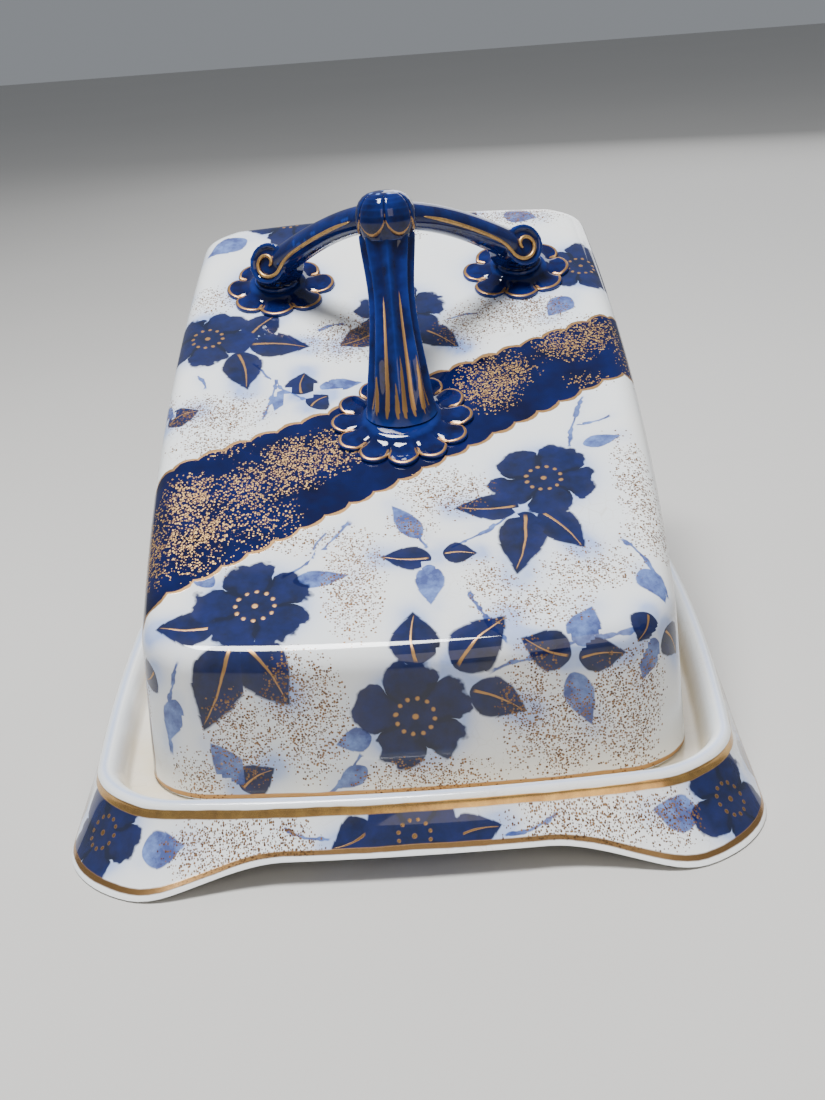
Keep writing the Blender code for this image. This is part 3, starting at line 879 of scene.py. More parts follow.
# blooms: place, radius, turn; leaves: base, tip, half width, 1 dark or 0 pale; twigs: base, tip, bow;
# specks: place, half across, half along, strength; glows: point and radius of a whole ornament
coverPlan = {
    "blooms": [(top(-40, -88), 17.8, 12), (top(43, -46), 16.8, -30), (front(2, 34), 17.0, 5),
               (top(-62, 31), 16.5, 40), (top(3, 39), 16.5, 0), (top(66, 57), 15, 60),
               (top(-37, 99), 16, 30), (top(24, 101), 14, -20)],
    "leaves": [
        (top(-50, -95), top(-67, -93), 6.0, 1), (front(-45, 55), front(-55, 33), 7.0, 1),
        (front(-42, 55), front(-31, 39), 6.8, 1), (top(-30, -80), top(-14, -79), 3.0, 0),
        (top(-52, -80), top(-60, -72), 2.6, 0),
        (top(35, -57), top(16, -56), 5.2, 1), (top(37, -59), top(32, -83), 6.4, 1),
        (top(41, -59), top(52, -75), 5.6, 1), (top(56, -33), top(68, -30), 2.6, 0),
        (top(9, -75), top(-6, -73), 4.4, 1), (top(12, -73), top(22, -74), 4.0, 1),
        (top(6, -67), top(-2, -53), 3.2, 0), (top(8, -77), top(8, -92), 3.8, 0),
        (front(3, 48), top(3, -94), 6.2, 1), (front(13, 47), top(28, -97), 6.4, 1),
        (front(17, 41), front(32, 33), 5.4, 1), (front(-10, 29), front(-20, 27), 3.4, 0),
        (front(44, 47), front(31, 53), 5.2, 1), (front(46, 47), front(59, 47), 4.4, 1),
        (front(46, 50), top(51, -96), 4.6, 0), (front(44, 43), front(49, 27), 3.8, 0),
        (front(-12, 20), front(-21, 14), 2.8, 0),
        (top(-49, 30), top(-38, 43), 6.2, 1), (top(-48, 27), top(-27, 23), 6.4, 1),
        (top(-51, 23), top(-47, 3), 6.2, 1), (top(-30, -1), top(-29, 10), 5.2, 1),
        (top(-27, -7), top(-21, -2), 4.8, 1), (top(-24, 2), top(-10, 3), 3.2, 0),
        (top(-35, 2), top(-38, -8), 2.8, 0), (top(-4, 29), top(-18, 22), 5.6, 1),
        (top(8, 30), top(22, 17), 5.6, 1), (top(2, 26), top(5, 10), 5.2, 1),
        (top(-72, -8), top(-62, -5), 4.6, 1), (top(-74, 4), top(-70, -6), 3.0, 0),
        (top(-52, 88), top(-66, 80), 4.4, 0), (top(-20, 98), top(-6, 101), 4.2, 0),
        (top(42, 92), top(54, 88), 4.6, 0), (top(60, 40), top(52, 30), 4.2, 0),
        (top(66, -84), top(71, -94), 3.6, 0), (front(66, 55), front(62, 49), 4.2, 1),
        (front(67, 49), front(63, 38), 3.6, 0), (("right", -98, 50), ("right", -93, 40), 4.6, 1),
        (("left", -98, 47), ("left", -92, 42), 4.6, 1), (front(-62, 41), front(-66, 27), 3.4, 0),
        (front(-46, 16), front(-54, 29), 4.0, 0), (front(-47, 15), front(-37, 21), 4.6, 1),
    ],
    "twigs": [
        (top(-33, -79), top(-14, -58), -1.6), (top(-25, -72), top(-21, -62), 0.8),
        (top(52, -34), top(59, -11), 1.2), (top(55, -24), top(66, -21), -0.8),
        (top(31, -61), top(14, -71), 1.2), (top(8, -71), top(-1, -60), -1.0),
        (front(22, 45), front(66, 52), 2.0), (front(-13, 24), front(-24, 12), 0.8),
        (top(-46, 17), top(-28, -4), -1.6), (top(-38, 8), top(-42, -12), 1.0),
        (top(18, 32), top(29, 34), 0.8), (top(-16, 34), top(-25, 31), -0.8),
        (top(62, -72), top(72, -92), 1.0), (top(-64, 12), top(-61, 5), 1.0),
        (front(-60, 52), front(-66, 24), -1.2), (front(28, 52), top(18, -88), 1.0),
    ],
    "specks": [
        (top(-16, 26), 12, 12, 0.75), (top(-56, -8), 15, 10, 0.8), (top(-56, -22), 13, 6, 0.55),
        (top(42, 34), 17, 10, 0.8), (top(24, 28), 9, 12, 0.6), (top(-13, -82), 8, 20, 0.85),
        (top(14, -49), 13, 10, 0.65), (top(36, -94), 15, 8, 0.6), (top(24, -84), 7, 8, 0.6),
        (top(52, -82), 13, 9, 0.55), (top(70, -54), 6, 24, 0.6), (top(-30, -64), 20, 5, 0.5),
        (top(-58, -72), 12, 5, 0.55), (top(3, -62), 8, 5, 0.45), (top(46, 92), 18, 8, 0.8),
        (top(4, 88), 12, 8, 0.5), (top(-62, 52), 8, 8, 0.5), (top(60, -4), 8, 5, 0.4),
        (front(-27, 36), 10, 17, 1.0), (front(-45, 30), 9, 13, 0.8), (front(33, 34), 8, 18, 0.7),
        (front(40, 26), 9, 14, 0.9), (front(59, 32), 11, 16, 0.95), (front(4, 16), 18, 6, 0.7),
        (front(-58, 18), 8, 8, 0.6), (front(60, 18), 9, 7, 0.6),
        # brighter dustings on the band
        (top(-62, -45), 9, 11, 1.0), (top(-55, -58), 9, 9, 0.85), (top(-64, -62), 9, 9, 0.9),
        (top(-44, -42), 10, 12, 0.7), (top(-31, -33), 10, 12, 1.0), (top(-20, -28), 10, 10, 0.9),
        (top(-40, -54), 12, 8, 0.55), (top(30, -2), 10, 13, 1.1), (top(38, 4), 8, 9, 0.8),
        (top(57, 15), 11, 9, 1.0), (top(66, 20), 9, 9, 0.9), (("left", -62, 66), 12, 16, 0.9),
        (("left", -78, 42), 13, 16, 0.7), (("right", 14, 86), 14, 16, 0.9),
        (("right", 35, 60), 12, 16, 0.8), (("right", 51, 33), 11, 15, 0.8),
        (("left", 60, 66), 22, 14, 0.7), (("left", 2, 34), 20, 12, 0.7), (("right", -52, 30), 20, 12, 0.7),
        (("back", 0, 60), 20, 22, 0.7), (("back", -56, 34), 14, 18, 0.7), (("back", 58, 92), 14, 18, 0.7),
    ],
    "glows": [(onTop(*seats["front"]), 19 * mm), (onTop(*seats["left"]), 16.5 * mm),
              (onTop(*seats["right"]), 16.5 * mm)],
}
coverPlan = gather(
    coverPlan,
    spray("left", 30, 66, 15.5, 8), spray("left", 76, 94, 14.5, -20, -1), spray("left", -30, 30, 13, 30),
    spray("left", 84, 34, 14, 10, -1), spray("right", -56, 48, 12.5, -6),
    spray("right", 72, 84, 15.5, 14, -1), spray("right", 76, 34, 14, -12),
    spray("right", -6, 34, 13.5, 6, -1), spray("back", -34, 82, 16, 6),
    spray("back", 40, 54, 15.5, -12, -1), spray("back", -46, 28, 13, 20),
)
paintPlan(cover, coverPlan)

dishPlan = {
    "blooms": [(front(0, 10), 14, 0), (front(-84, 9), 15, 20), (front(84, 8), 15, -15),
               (("right", 4, 9), 14, 10), (("left", -6, 9), 14, -20), (("right", 112, 9), 14, 30),
               (("left", 112, 9), 14, 0), (("back", 2, 10), 14, 15), (("right", -58, 8), 10, 50),
               (("left", 56, 8), 10, 50)],
    "leaves": [
        (front(-10, 12), front(-22, 8), 5.4, 1), (front(9, 9), front(23, 11), 5.0, 1),
        (front(-72, 8), front(-60, 10), 4.8, 0), (front(74, 8), front(62, 11), 4.8, 0),
        (("left", -100, 6), ("left", -84, 7), 5.4, 1), (("right", -100, 6), ("right", -84, 7), 5.4, 1),
        (("right", -6, 10), ("right", -22, 8), 5.2, 1), (("right", 14, 10), ("right", 29, 9), 5.0, 1),
        (("left", 4, 10), ("left", 20, 8), 5.2, 1), (("left", -16, 10), ("left", -31, 9), 5.0, 1),
        (("right", 100, 7), ("right", 84, 9), 5.0, 1), (("left", 100, 7), ("left", 84, 9), 5.0, 1),
        (("back", 12, 9), ("back", 27, 10), 5.0, 1), (("back", -9, 10), ("back", -23, 9), 5.0, 1),
        (("back", 70, 8), ("back", 58, 10), 4.6, 0), (("back", -70, 8), ("back", -58, 10), 4.6, 0),
    ],
    "twigs": [(front(-22, 10), front(-34, 13), 0.8), (front(23, 9), front(38, 12), -0.8),
              (("right", 28, 9), ("right", 42, 11), 0.8), (("left", 20, 9), ("left", 34, 11), 0.8)],
    "specks": [
        (front(-50, 9), 14, 9, 0.95), (front(-34, 9), 9, 8, 0.8), (front(46, 10), 20, 8, 0.8),
        (front(66, 9), 9, 8, 0.7), (("left", -56, 8), 22, 8, 0.9), (("left", 78, 8), 12, 8, 0.7),
        (("left", 34, 8), 16, 8, 0.8), (("right", -36, 8), 18, 8, 0.9), (("right", 60, 8), 18, 8, 0.8),
        (("right", -80, 7), 10, 8, 0.7), (("back", 42, 9), 18, 8, 0.9), (("back", -42, 9), 18, 8, 0.9),
    ],
    "glows": [],
}
paintPlan(dish, dishPlan)


# materials

class Signal:
    # a node's output that plain arithmetic works on
    def __init__(self, socket):
        self.socket = socket

    def calc(self, operation, *others, clamp=False):
        tree = self.socket.id_data
        node = tree.nodes.new("ShaderNodeMath")
        node.operation, node.use_clamp = operation, clamp
        for socket, value in zip(node.inputs, (self, *others)):
            feed(socket, value)
        return Signal(node.outputs[0])

    def __add__(self, other):
        return self.calc("ADD", other)

    def __sub__(self, other):
        return self.calc("SUBTRACT", other)

    def __rsub__(self, other):
        return self.calc("MULTIPLY_ADD", -1.0, other)

    def __mul__(self, other):
        return self.calc("MULTIPLY", other)

    def __pow__(self, other):
        return self.calc("MAXIMUM", 0.0).calc("POWER", other)

    def size(self):
        return self.calc("ABSOLUTE")

    def over(self, edge, soft):
        # 0 below the edge and 1 above it, turning over within soft
        return (self - edge).calc("MULTIPLY_ADD", 1 / soft, 0.5, clamp=True)

    def under(self, edge, soft):
        return 1.0 - self.over(edge, soft)


def feed(socket, value):
    if isinstance(value, Signal):
        socket.id_data.links.new(value.socket, socket)
    else:
        socket.default_value = value


def addNode(tree, kind, inputs=None, **settings):
    node = tree.nodes.new(kind)
    for key, value in settings.items():
        setattr(node, key, value)
    for key, value in (inputs or {}).items():
        feed(node.inputs[key], value)
    return node


def newGroup(name, inputs, outputs):
    tree = bpy.data.node_groups.new(name, "ShaderNodeTree")
    for label, kind in inputs.items():
        tree.interface.new_socket(label, in_out="INPUT", socket_type=kind)
    for label in outputs:
        tree.interface.new_socket(label, in_out="OUTPUT", socket_type="NodeSocketFloat")
    source, sink = tree.nodes.new("NodeGroupInput"), tree.nodes.new("NodeGroupOutput")
    return tree, {label: Signal(source.outputs[label]) for label in inputs}, sink


def useGroup(tree, group, **inputs):
    node = tree.nodes.new("ShaderNodeGroup")
    node.node_tree = group
    for label, value in inputs.items():
        feed(node.inputs[label], value)
    return {socket.name: Signal(socket) for socket in node.outputs}


def objectPlace(tree):
    return Signal(addNode(tree, "ShaderNodeTexCoord").outputs["Object"])


def noise(tree, place, scale, detail=2.0, rough=0.5):
    node = addNode(tree, "ShaderNodeTexNoise",
                   {"Vector": place, "Scale": scale, "Detail": detail, "Roughness": rough})
    return Signal(node.outputs[0])


def split(signal):
    node = addNode(signal.socket.id_data, "ShaderNodeSeparateXYZ", {"Vector": signal})
    return [Signal(socket) for socket in node.outputs]


def readMark(tree, name, output="Fac"):
    return Signal(addNode(tree, "ShaderNodeAttribute", attribute_name=name).outputs[output])


def mixColour(tree, factor, a, b):
    node = addNode(tree, "ShaderNodeMix", data_type="RGBA")
    for socket, value in zip((node.inputs[0], node.inputs[6], node.inputs[7]), (factor, a, b)):
        feed(socket, (*value, 1.0) if isinstance(value, tuple) else value)
    return Signal(node.outputs[2])


def unite(first, *others):
    # the union of masks
    for other in others:
        first = first.calc("MAXIMUM", other)
    return first


def buildBloomPaint():
    # five loose petals, and a ring of gilt dots round a gilt middle; the map's unit is the bloom's radius
    tree, given, sink = newGroup("bloomPaint", {"Map": "NodeSocketVector"}, ("Petals", "Shade", "Dots"))
    dotCount, ringReach, dotReach = 12, 0.305, 0.034
    place = objectPlace(tree)
    x, y, _ = split(given["Map"])
    drift = noise(tree, place, 95.0, 3.0) - 0.5
    fine = noise(tree, place, 340.0, 2.0) - 0.5
    reach = (x * x + y * y) ** 0.5
    turn = y.calc("ARCTAN2", x)
    bent = turn + drift * 0.9
    lobe = (bent * 2.5).calc("COSINE").size()
    edge = (lobe ** 0.45) * 0.38 + 0.60 - (lobe ** 16.0) * 0.08 + drift * 0.50 + fine * 0.16
    inside = edge - reach
    feed(sink.inputs["Petals"], inside.over(0.0, 0.05))
    seam = ((1.0 - lobe) ** 5.0) * reach.over(0.30, 0.1) * reach.under(0.66, 0.2)
    streak = noise(tree, place, 260.0, 3.0, 0.65)
    feed(sink.inputs["Shade"], streak * 1.3 + drift * 0.8 + reach * 0.35 - seam * 1.2 - 0.42)
    sector = (turn * (dotCount / math.tau)).calc("FRACT") - 0.5
    aside = sector * (math.tau / dotCount * ringReach) + fine * 0.03
    out = reach - ringReach + fine * 0.05
    dots = ((aside * aside + out * out) ** 0.5).under(dotReach, 0.022)
    feed(sink.inputs["Dots"], unite(dots, (reach + fine * 0.03).under(0.048, 0.022)))
    return tree


def buildLeafPaint():
    # u runs along the leaf from 0 to 1, and v across it from -1 to 1
    tree, given, sink = newGroup("leafPaint", {"Map": "NodeSocketVector"}, ("Blade", "Shade", "Rib"))
    place = objectPlace(tree)
    u, v, _ = split(given["Map"])
    drift = noise(tree, place, 150.0, 2.0) - 0.5
    fine = noise(tree, place, 420.0, 2.0) - 0.5
    within = u.over(0.01, 0.02) * u.under(0.995, 0.01)
    width = (((u ** 0.70) * math.pi).calc("SINE") ** 1.05) * 1.12
    tooth = (u * 3.5 + drift).calc("FRACT") * 0.06
    blade = (width - tooth + drift * 0.26 + fine * 0.10 - v.size()).over(0.0, 0.12) * within
    feed(sink.inputs["Blade"], blade)
    vein = (v + drift * 0.2).size().under(0.08, 0.08)
    feed(sink.inputs["Shade"], noise(tree, place, 230.0, 3.0, 0.6) * 1.5 + v * 0.16 - vein * 0.2 - 0.32)
    curved = v - (u * math.pi).calc("SINE") * 0.22 + 0.10 + drift * 0.1
    thick = (1.1 - u) * 0.075 + fine * 0.04
    rib = (thick - curved.size()).over(0.0, 0.035)
    feed(sink.inputs["Rib"], rib * u.over(0.08, 0.05) * u.under(0.90, 0.05))
    return tree


def buildTwigPaint():
    # u runs along the twig from 0 to 1, and v is millimetres off its line
    tree, given, sink = newGroup("twigPaint", {"Map": "NodeSocketVector"}, ("Line",))
    place = objectPlace(tree)
    u, v, _ = split(given["Map"])
    sway = (noise(tree, place, 130.0, 2.0) - 0.5) * 2.6
    knots = noise(tree, place, 280.0, 1.0).over(0.56, 0.12) * 0.55 + 0.34
    line = (knots - (v + sway).size()).over(0.0, 0.3) * u.over(0.02, 0.04) * u.under(0.98, 0.04)
    feed(sink.inputs["Line"], line)
    return tree


def buildGoldDust():
    # specks of gilding as a sponge leaves them, thicker where Amount is higher
    inputs = {"Place": "NodeSocketVector", "Amount": "NodeSocketFloat", "Grain": "NodeSocketFloat"}
    tree, given, sink = newGroup("goldDust", inputs, ("Specks", "Bright"))
    cells = addNode(tree, "ShaderNodeTexVoronoi", {"Vector": given["Place"], "Scale": given["Grain"]})
    chance, size, bright = split(Signal(cells.outputs["Color"]))
    patchy = noise(tree, given["Place"], 210.0, 2.0) - 0.5
    shown = (given["Amount"] * 1.7 + patchy * 2.2 * given["Amount"] - chance).over(0.06, 0.02)
    spot = (size * 0.28 + 0.31 - Signal(cells.outputs["Distance"])).over(0.0, 0.10)
    feed(sink.inputs["Specks"], shown * spot)
    feed(sink.inputs["Bright"], bright)
    return tree


def buildBandPaint():
    # the slanting band on the unrolled sheet, in metres, with a scalloped gilt line on each edge
    tree, given, sink = newGroup("bandPaint", {"Across": "NodeSocketFloat", "Along": "NodeSocketFloat"},
                                 ("Band", "Edge"))
    place = objectPlace(tree)
    drift = (noise(tree, place, 120.0, 2.0) - 0.5) * 1.1
    a, b = given["Across"] * 1000.0, given["Along"] * 1000.0
    insides = []
    for start, rise, side in ((-2.3, 0.464, 1.0), (-46.2, 0.637, -1.0)):
        level = math.cos(math.atan(rise))
        depth = (a * rise + start - b) * (side * level)
        run = a * level + b * (level * rise)
        bulge = (((run + drift * 1.6) * (math.pi / 8.6)).calc("SINE").size() ** 0.75) * 1.6
        insides.append(depth + bulge)
    inside = insides[0].calc("MINIMUM", insides[1]) + drift * 0.8
    feed(sink.inputs["Band"], inside.over(0.0, 0.3))
    thick = noise(tree, place, 300.0, 2.0) * 0.9 + 0.12
    feed(sink.inputs["Edge"], (thick - (inside - 0.1).size()).over(0.0, 0.2))
    return tree


def buildGlazeSkin():
    # slow clouds in the white, fine crazing, small iron specks and the unevenness of a dipped glaze
    tree, given, sink = newGroup("glazeSkin", {"Place": "NodeSocketVector"},
                                 ("Cloud", "Craze", "Iron", "Height"))
    place = given["Place"]
    feed(sink.inputs["Cloud"], noise(tree, place, 22.0, 3.0, 0.6).over(0.5, 0.5))
    cracks = addNode(tree, "ShaderNodeTexVoronoi", {"Vector": place, "Scale": 230.0},
                     feature="DISTANCE_TO_EDGE")
    patch = noise(tree, place, 30.0, 2.0).over(0.62, 0.25)
    feed(sink.inputs["Craze"], Signal(cracks.outputs["Distance"]).under(0.018, 0.025) * patch)
    grit = addNode(tree, "ShaderNodeTexVoronoi", {"Vector": place, "Scale": 160.0})
    rare = split(Signal(grit.outputs["Color"]))[0].over(0.97, 0.01)
    feed(sink.inputs["Iron"], Signal(grit.outputs["Distance"]).under(0.07, 0.04) * rare)
    feed(sink.inputs["Height"], noise(tree, place, 34.0, 2.0) + noise(tree, place, 420.0, 2.0) * 0.035)
    return tree


bloomPaint = buildBloomPaint()
leafPaint = buildLeafPaint()
twigPaint = buildTwigPaint()
goldDust = buildGoldDust()
bandPaint = buildBandPaint()
glazeSkin = buildGlazeSkin()

palette = {
    "deepCobalt": (0.0022, 0.0030, 0.016),
    "cobalt": (0.0040, 0.0095, 0.088),
    "thinCobalt": (0.010, 0.042, 0.27),
    "washDark": (0.012, 0.032, 0.19),
    "wash": (0.12, 0.21, 0.52),
    "flow": (0.25, 0.37, 0.72),
    "coolWhite": (0.77, 0.82, 0.86),
    "warmWhite": (0.84, 0.83, 0.79),
    "cream": (0.74, 0.63, 0.44),
    "bronze": (0.085, 0.040, 0.020),
    "brown": (0.30, 0.165, 0.070),
    "paintGold": (0.40, 0.225, 0.090),
    "brightGold": (0.78, 0.48, 0.15),
    "crazing": (0.50, 0.44, 0.34),
}


def newMaterial(name, coat=1.0):
    made = bpy.data.materials.new(name)
    made.use_nodes = True
    tree = made.node_tree
    shader = tree.nodes["Principled BSDF"]
    shader.inputs["Coat Weight"].default_value = coat
    shader.inputs["Coat Roughness"].default_value = 0.035
    shader.inputs["Coat IOR"].default_value = 1.47
    shader.inputs["Specular IOR Level"].default_value = 0.5 - 0.5 * coat  # the glaze is the one shiny skin
    return made, tree, shader


def finishGlaze(tree, shader, colour, gilt, height, strength=0.22, giltRough=0.34, giltMetal=0.8):
    # gilding lies on the glaze: it is metal, less glossy and a hair proud
    feed(shader.inputs["Base Color"], colour)
    feed(shader.inputs["Metallic"], gilt * giltMetal)
    worn = noise(tree, objectPlace(tree), 700.0, 2.0)
    feed(shader.inputs["Roughness"], gilt * (giltRough - 0.20) + worn * 0.06 + 0.17)
    feed(shader.inputs["Coat Weight"], 1.0 - gilt * 0.85)
    bump = addNode(tree, "ShaderNodeBump",
                   {"Height": height + gilt * 0.12, "Strength": strength, "Distance": 0.0012})
    feed(shader.inputs["Normal"], Signal(bump.outputs["Normal"]))


def flowers(tree, ground, dustPlace, dustGrain, dustAmount):
    # white ground, flowing blue, twigs, leaves and blooms, and gold dust; returns colour and gilt
    bloom = useGroup(tree, bloomPaint, Map=readMark(tree, "bloomMap", "Vector"))
    leaf = useGroup(tree, leafPaint, Map=readMark(tree, "leafMap", "Vector"))
    twig = useGroup(tree, twigPaint, Map=readMark(tree, "twigMap", "Vector"))
    dust = useGroup(tree, goldDust, Place=dustPlace, Grain=dustGrain, Amount=dustAmount)
    tone = readMark(tree, "leafTone")
    soft = noise(tree, objectPlace(tree), 70.0, 3.0, 0.6)
    haze = readMark(tree, "haze")
    colour = mixColour(tree, (haze ** 1.2) * (soft * 1.0 + 0.25), ground, palette["flow"])
    pale = unite(leaf["Blade"] * (1.0 - tone), twig["Line"])
    ink = noise(tree, objectPlace(tree), 210.0, 4.0, 0.65).over(0.54, 0.30)
    wash = mixColour(tree, ink, palette["washDark"], palette["wash"])
    colour = mixColour(tree, pale * 0.92, colour, wash)
    dark = unite(leaf["Blade"] * tone, bloom["Petals"])
    shade = mixColour(tree, bloom["Petals"], leaf["Shade"], bloom["Shade"])
    shade = split(shade)[0]
    shade = shade.calc("MULTIPLY", 1.0, clamp=True)
    paint = mixColour(tree, shade, palette["deepCobalt"], palette["cobalt"])
    colour = mixColour(tree, dark * 0.97, colour, paint)
    lines = unite(bloom["Dots"] * bloom["Petals"], leaf["Rib"] * tone * (1.0 - bloom["Petals"]))
    return colour, lines, dust


def buildCoverGlaze():
    made, tree, shader = newMaterial("flowBlueCoverGlaze")
    place = objectPlace(tree)
    skin = useGroup(tree, glazeSkin, Place=place)
    outer = readMark(tree, "outer").over(0.5, 0.1)
    ground = mixColour(tree, skin["Cloud"], palette["coolWhite"], palette["warmWhite"])
    ground = mixColour(tree, unite(skin["Craze"] * 0.35, skin["Iron"]), ground, palette["crazing"])
    band = useGroup(tree, bandPaint, Across=readMark(tree, "sheetA"), Along=readMark(tree, "sheetB"))
    thinner = 1.0 - band["Band"] * 0.30
    colour, lines, dust = flowers(tree, ground, place, 1550.0, readMark(tree, "speck") * outer * thinner)
    pool = noise(tree, place, 60.0, 3.0, 0.6)
    bandColour = mixColour(tree, pool.over(0.55, 0.6), palette["deepCobalt"], palette["cobalt"])
    bandMask = band["Band"] * outer
    colour = mixColour(tree, bandMask, colour, bandColour)
    rise = readMark(tree, "rise") * 1000.0 + (noise(tree, place, 90.0, 2.0) - 0.5) * 0.9
    footLine = rise.over(0.55, 0.25) * rise.under(2.0, 0.25)
    lines = unite(lines * (1.0 - bandMask), band["Edge"], footLine) * outer
    colour = mixColour(tree, lines, colour, palette["paintGold"])
    onWhite = mixColour(tree, dust["Bright"], palette["bronze"], palette["brown"])
    onBlue = mixColour(tree, dust["Bright"], palette["brown"], palette["brightGold"])
    colour = mixColour(tree, dust["Specks"], colour, mixColour(tree, bandMask, onWhite, onBlue))
    specks = dust["Specks"] * (bandMask * 0.6 + 0.4)
    inside = mixColour(tree, skin["Cloud"], palette["warmWhite"], palette["cream"])
    colour = mixColour(tree, outer, inside, colour)
    finishGlaze(tree, shader, colour, unite(lines, specks), skin["Height"], giltMetal=0.65)
    return made


def buildDishGlaze():
    made, tree, shader = newMaterial("flowBlueDishGlaze")
    place = objectPlace(tree)
    skin = useGroup(tree, glazeSkin, Place=place)
    ground = mixColour(tree, skin["Cloud"], palette["coolWhite"], palette["warmWhite"])
    tea = noise(tree, place, 34.0, 4.0, 0.65).over(0.52, 0.5)
    hollow = readMark(tree, "hollow")
    ground = mixColour(tree, hollow * (tea * 0.5 + 0.5), ground, palette["cream"])
    ground = mixColour(tree, unite(skin["Craze"] * 0.4, skin["Iron"]), ground, palette["crazing"])
    upright = addNode(tree, "ShaderNodeMapping", {"Vector": place})
    upright.inputs["Scale"].default_value = (1.0, 1.0, 0.45)  # the sponge was dragged down the apron
    drop = readMark(tree, "drop") * 1000.0
    apron = drop.over(0.5, 0.3) * drop.under(20.0, 1.0)
    colour, lines, dust = flowers(tree, ground, Signal(upright.outputs[0]), 1850.0,
                                  readMark(tree, "speck") * apron)
    colour = mixColour(tree, drop.under(0.2, 0.8), colour, ground)
    crest = (drop + 2.2).size().under(0.7, 1.0) * drop.under(0.0, 0.1)
    colour = mixColour(tree, crest * 0.5, colour, palette["flow"])
    sway = (noise(tree, place, 75.0, 2.0) - 0.5) * 1.0
    rimBand = (drop + sway).over(-0.15, 0.25) * (drop + sway * 0.8).under(2.0, 0.3)
    above = readMark(tree, "above") * 1000.0 + sway * 0.5
    footLine = above.over(1.2, 0.25) * above.under(2.2, 0.25) * apron
    footWhite = above.under(1.2, 0.3) * apron
    colour = mixColour(tree, footWhite, colour, ground)
    lines = lines * (1.0 - footWhite) * apron
    worn = noise(tree, place, 160.0, 4.0, 0.7).over(0.55, 0.5)
    colour = mixColour(tree, unite(lines, footLine), colour, palette["paintGold"])
    rimGold = mixColour(tree, worn, palette["paintGold"], palette["brightGold"])
    colour = mixColour(tree, rimBand, colour, rimGold)
    grain = mixColour(tree, dust["Bright"], palette["bronze"], palette["brown"])
    specks = dust["Specks"] * (1.0 - footWhite)
    colour = mixColour(tree, specks * (1.0 - rimBand), colour, grain)
    gilt = unite(lines, footLine, rimBand, specks * 0.4)
    finishGlaze(tree, shader, colour, gilt, skin["Height"], giltRough=0.24, giltMetal=0.9)
    return made


def buildCobaltGlaze():
    # thick glaze is nearly black in the hollows, and thins to a brighter blue over the ridges
    made, tree, shader = newMaterial("cobaltHandleGlaze")
    place = objectPlace(tree)
    skin = useGroup(tree, glazeSkin, Place=place)
    ridge = Signal(addNode(tree, "ShaderNodeNewGeometry").outputs["Pointiness"])
    pool = noise(tree, place, 130.0, 3.0, 0.6)
    thin = (ridge + (pool - 0.5) * 0.04).over(0.53, 0.07)
    colour = mixColour(tree, pool.over(0.5, 0.5), palette["deepCobalt"], palette["cobalt"])
    colour = mixColour(tree, thin * 0.75, colour, palette["thinCobalt"])
    fray = noise(tree, place, 900.0, 2.0)
    gilt = (readMark(tree, "gilt") + (fray - 0.5) * 0.45).over(0.5, 0.25)
    colour = mixColour(tree, readMark(tree, "pearl"), colour, palette["wash"])
    colour = mixColour(tree, gilt, colour, palette["paintGold"])
    finishGlaze(tree, shader, colour, gilt, skin["Height"], strength=0.15)
    return made


def buildGilding():
    made, tree, shader = newMaterial("wornGilding", coat=0.0)
    place = objectPlace(tree)
    worn = noise(tree, place, 800.0, 4.0, 0.7)
    colour = mixColour(tree, worn.over(0.55, 0.5), palette["paintGold"], palette["brightGold"])
    bare = noise(tree, place, 260.0, 3.0, 0.6).over(0.70, 0.06)
    colour = mixColour(tree, bare, colour, palette["cobalt"])
    feed(shader.inputs["Base Color"], colour)
    feed(shader.inputs["Metallic"], (1.0 - bare) * 0.8)
    feed(shader.inputs["Roughness"], worn * 0.25 + 0.25)
    bump = addNode(tree, "ShaderNodeBump", {"Height": worn, "Strength": 0.12, "Distance": 0.0006})
    feed(shader.inputs["Normal"], Signal(bump.outputs["Normal"]))
    return made


coverGlaze, dishGlaze = buildCoverGlaze(), buildDishGlaze()
cobaltGlaze, gilding = buildCobaltGlaze(), buildGilding()
print("materials built")

finishPiece(dish, "dish", "dish_glaze", dishGlaze, "dish", degrees=50)
finishPiece(cover, "cover", "cover_glaze", coverGlaze, "cover_shell", degrees=50)
for piece, node in zip(rosettes, ("front_rosette", "left_rosette", "right_rosette")):
    finishPiece(piece, "cover", "cobalt_glaze", cobaltGlaze, node, degrees=60)
finishPiece(leg, "cover", "cobalt_glaze", cobaltGlaze, "handle_front_leg", degrees=60)
finishPiece(crown, "cover", "cobalt_glaze", cobaltGlaze, "handle_crown", degrees=60)
finishPiece(arms[0], "cover", "cobalt_glaze", cobaltGlaze, "handle_left_arm", degrees=80)
finishPiece(arms[1], "cover", "cobalt_glaze", cobaltGlaze, "handle_right_arm", degrees=80)
for line in scrollLines:
    finishPiece(line, "cover", "gilding", gilding, degrees=80)


# floor, light and camera

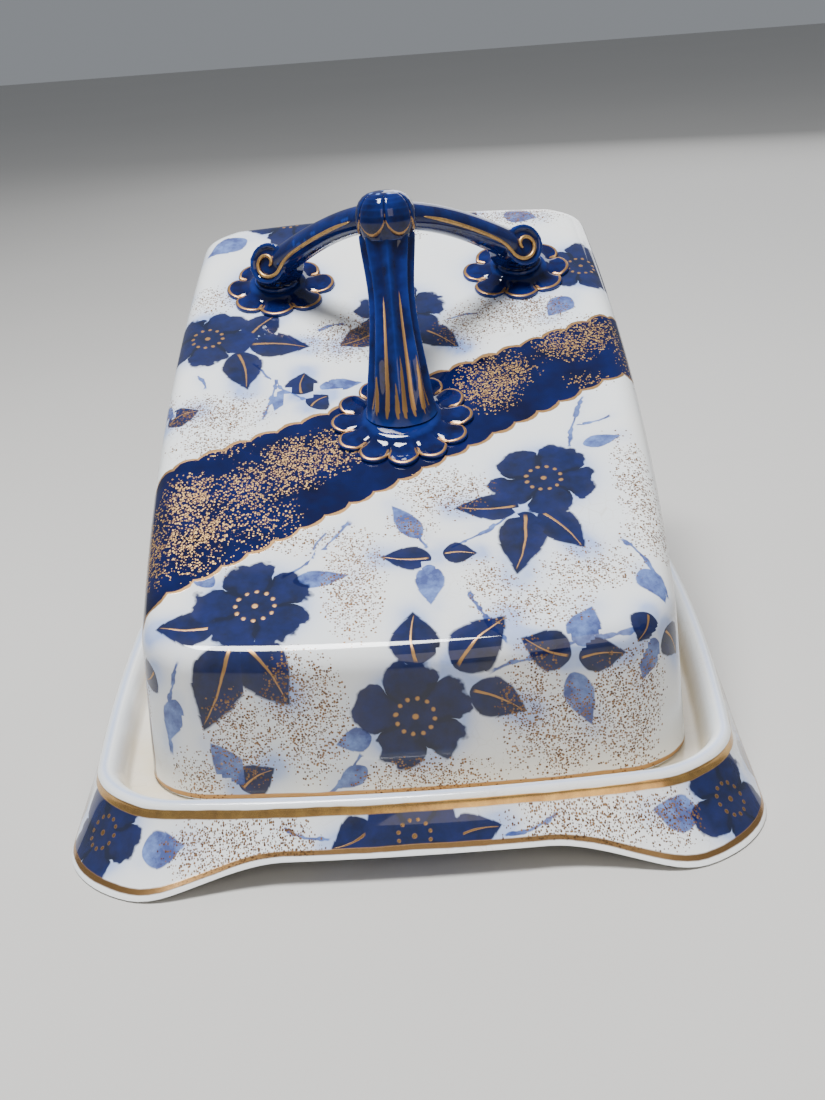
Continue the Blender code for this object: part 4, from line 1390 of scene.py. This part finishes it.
def buildFloor():
    made, tree, shader = newMaterial("paleFloor", coat=0.0)
    place = objectPlace(tree)
    cloud = noise(tree, place, 3.0, 3.0)
    feed(shader.inputs["Base Color"], mixColour(tree, cloud, (0.50, 0.485, 0.46), (0.55, 0.535, 0.51)))
    feed(shader.inputs["Roughness"], cloud * 0.1 + 0.5)
    deselectAll()
    bpy.ops.mesh.primitive_plane_add(size=8.0, location=(0, 0, -0.0002))
    floor = bpy.context.object
    floor.name = "floor"
    floor.data.materials.append(made)


lamps = {  # place, aim, size, power, colour
    "softboxAbove": ((-0.16, -0.08, 1.10), (0, 0, 0.05), 0.36, 25.0, (0.97, 0.985, 1.0)),
    "softboxFront": ((0.35, -1.30, 0.80), (0, 0, 0.05), 0.90, 5.0, (1.0, 0.87, 0.72)),
    "softboxBack": ((0.35, 1.30, 0.55), (0, 0, 0.06), 0.80, 5.0, (0.95, 0.97, 1.0)),
}


def addLamps():
    for name, (at, aim, size, power, colour) in lamps.items():
        data = bpy.data.lights.new(name, "AREA")
        data.shape = "SQUARE"
        data.size, data.energy, data.color = size, power, colour
        lamp = bpy.data.objects.new(name, data)
        lamp.location = at
        lamp.rotation_euler = (Vector(aim) - Vector(at)).to_track_quat("-Z", "Y").to_euler()
        bpy.context.scene.collection.objects.link(lamp)
    world = bpy.data.worlds.new("studio")
    world.use_nodes = True
    world.node_tree.nodes["Background"].inputs["Color"].default_value = (0.88, 0.93, 1.0, 1.0)
    world.node_tree.nodes["Background"].inputs["Strength"].default_value = 0.28
    bpy.context.scene.world = world


viewpoint = {
    "at": (0.01414, -0.47215, 0.21907),
    "pitch": 69.25,  # from straight down
    "yaw": 1.5,
    "roll": -4.42,
    "lens": 49.94,
}


def addCamera():
    data = bpy.data.cameras.new("camera")
    data.lens, data.sensor_width, data.clip_start = viewpoint["lens"], 36.0, 0.01
    camera = bpy.data.objects.new("camera", data)
    turns = [(viewpoint["yaw"], "Z"), (viewpoint["pitch"], "X"), (viewpoint["roll"], "Z")]
    matrix = Matrix.Translation(viewpoint["at"])
    for degrees, axis in turns:
        matrix = matrix @ Matrix.Rotation(math.radians(degrees), 4, axis)
    camera.matrix_world = matrix
    bpy.context.scene.collection.objects.link(camera)
    bpy.context.scene.camera = camera


buildFloor()
addLamps()
addCamera()
print("stage set")
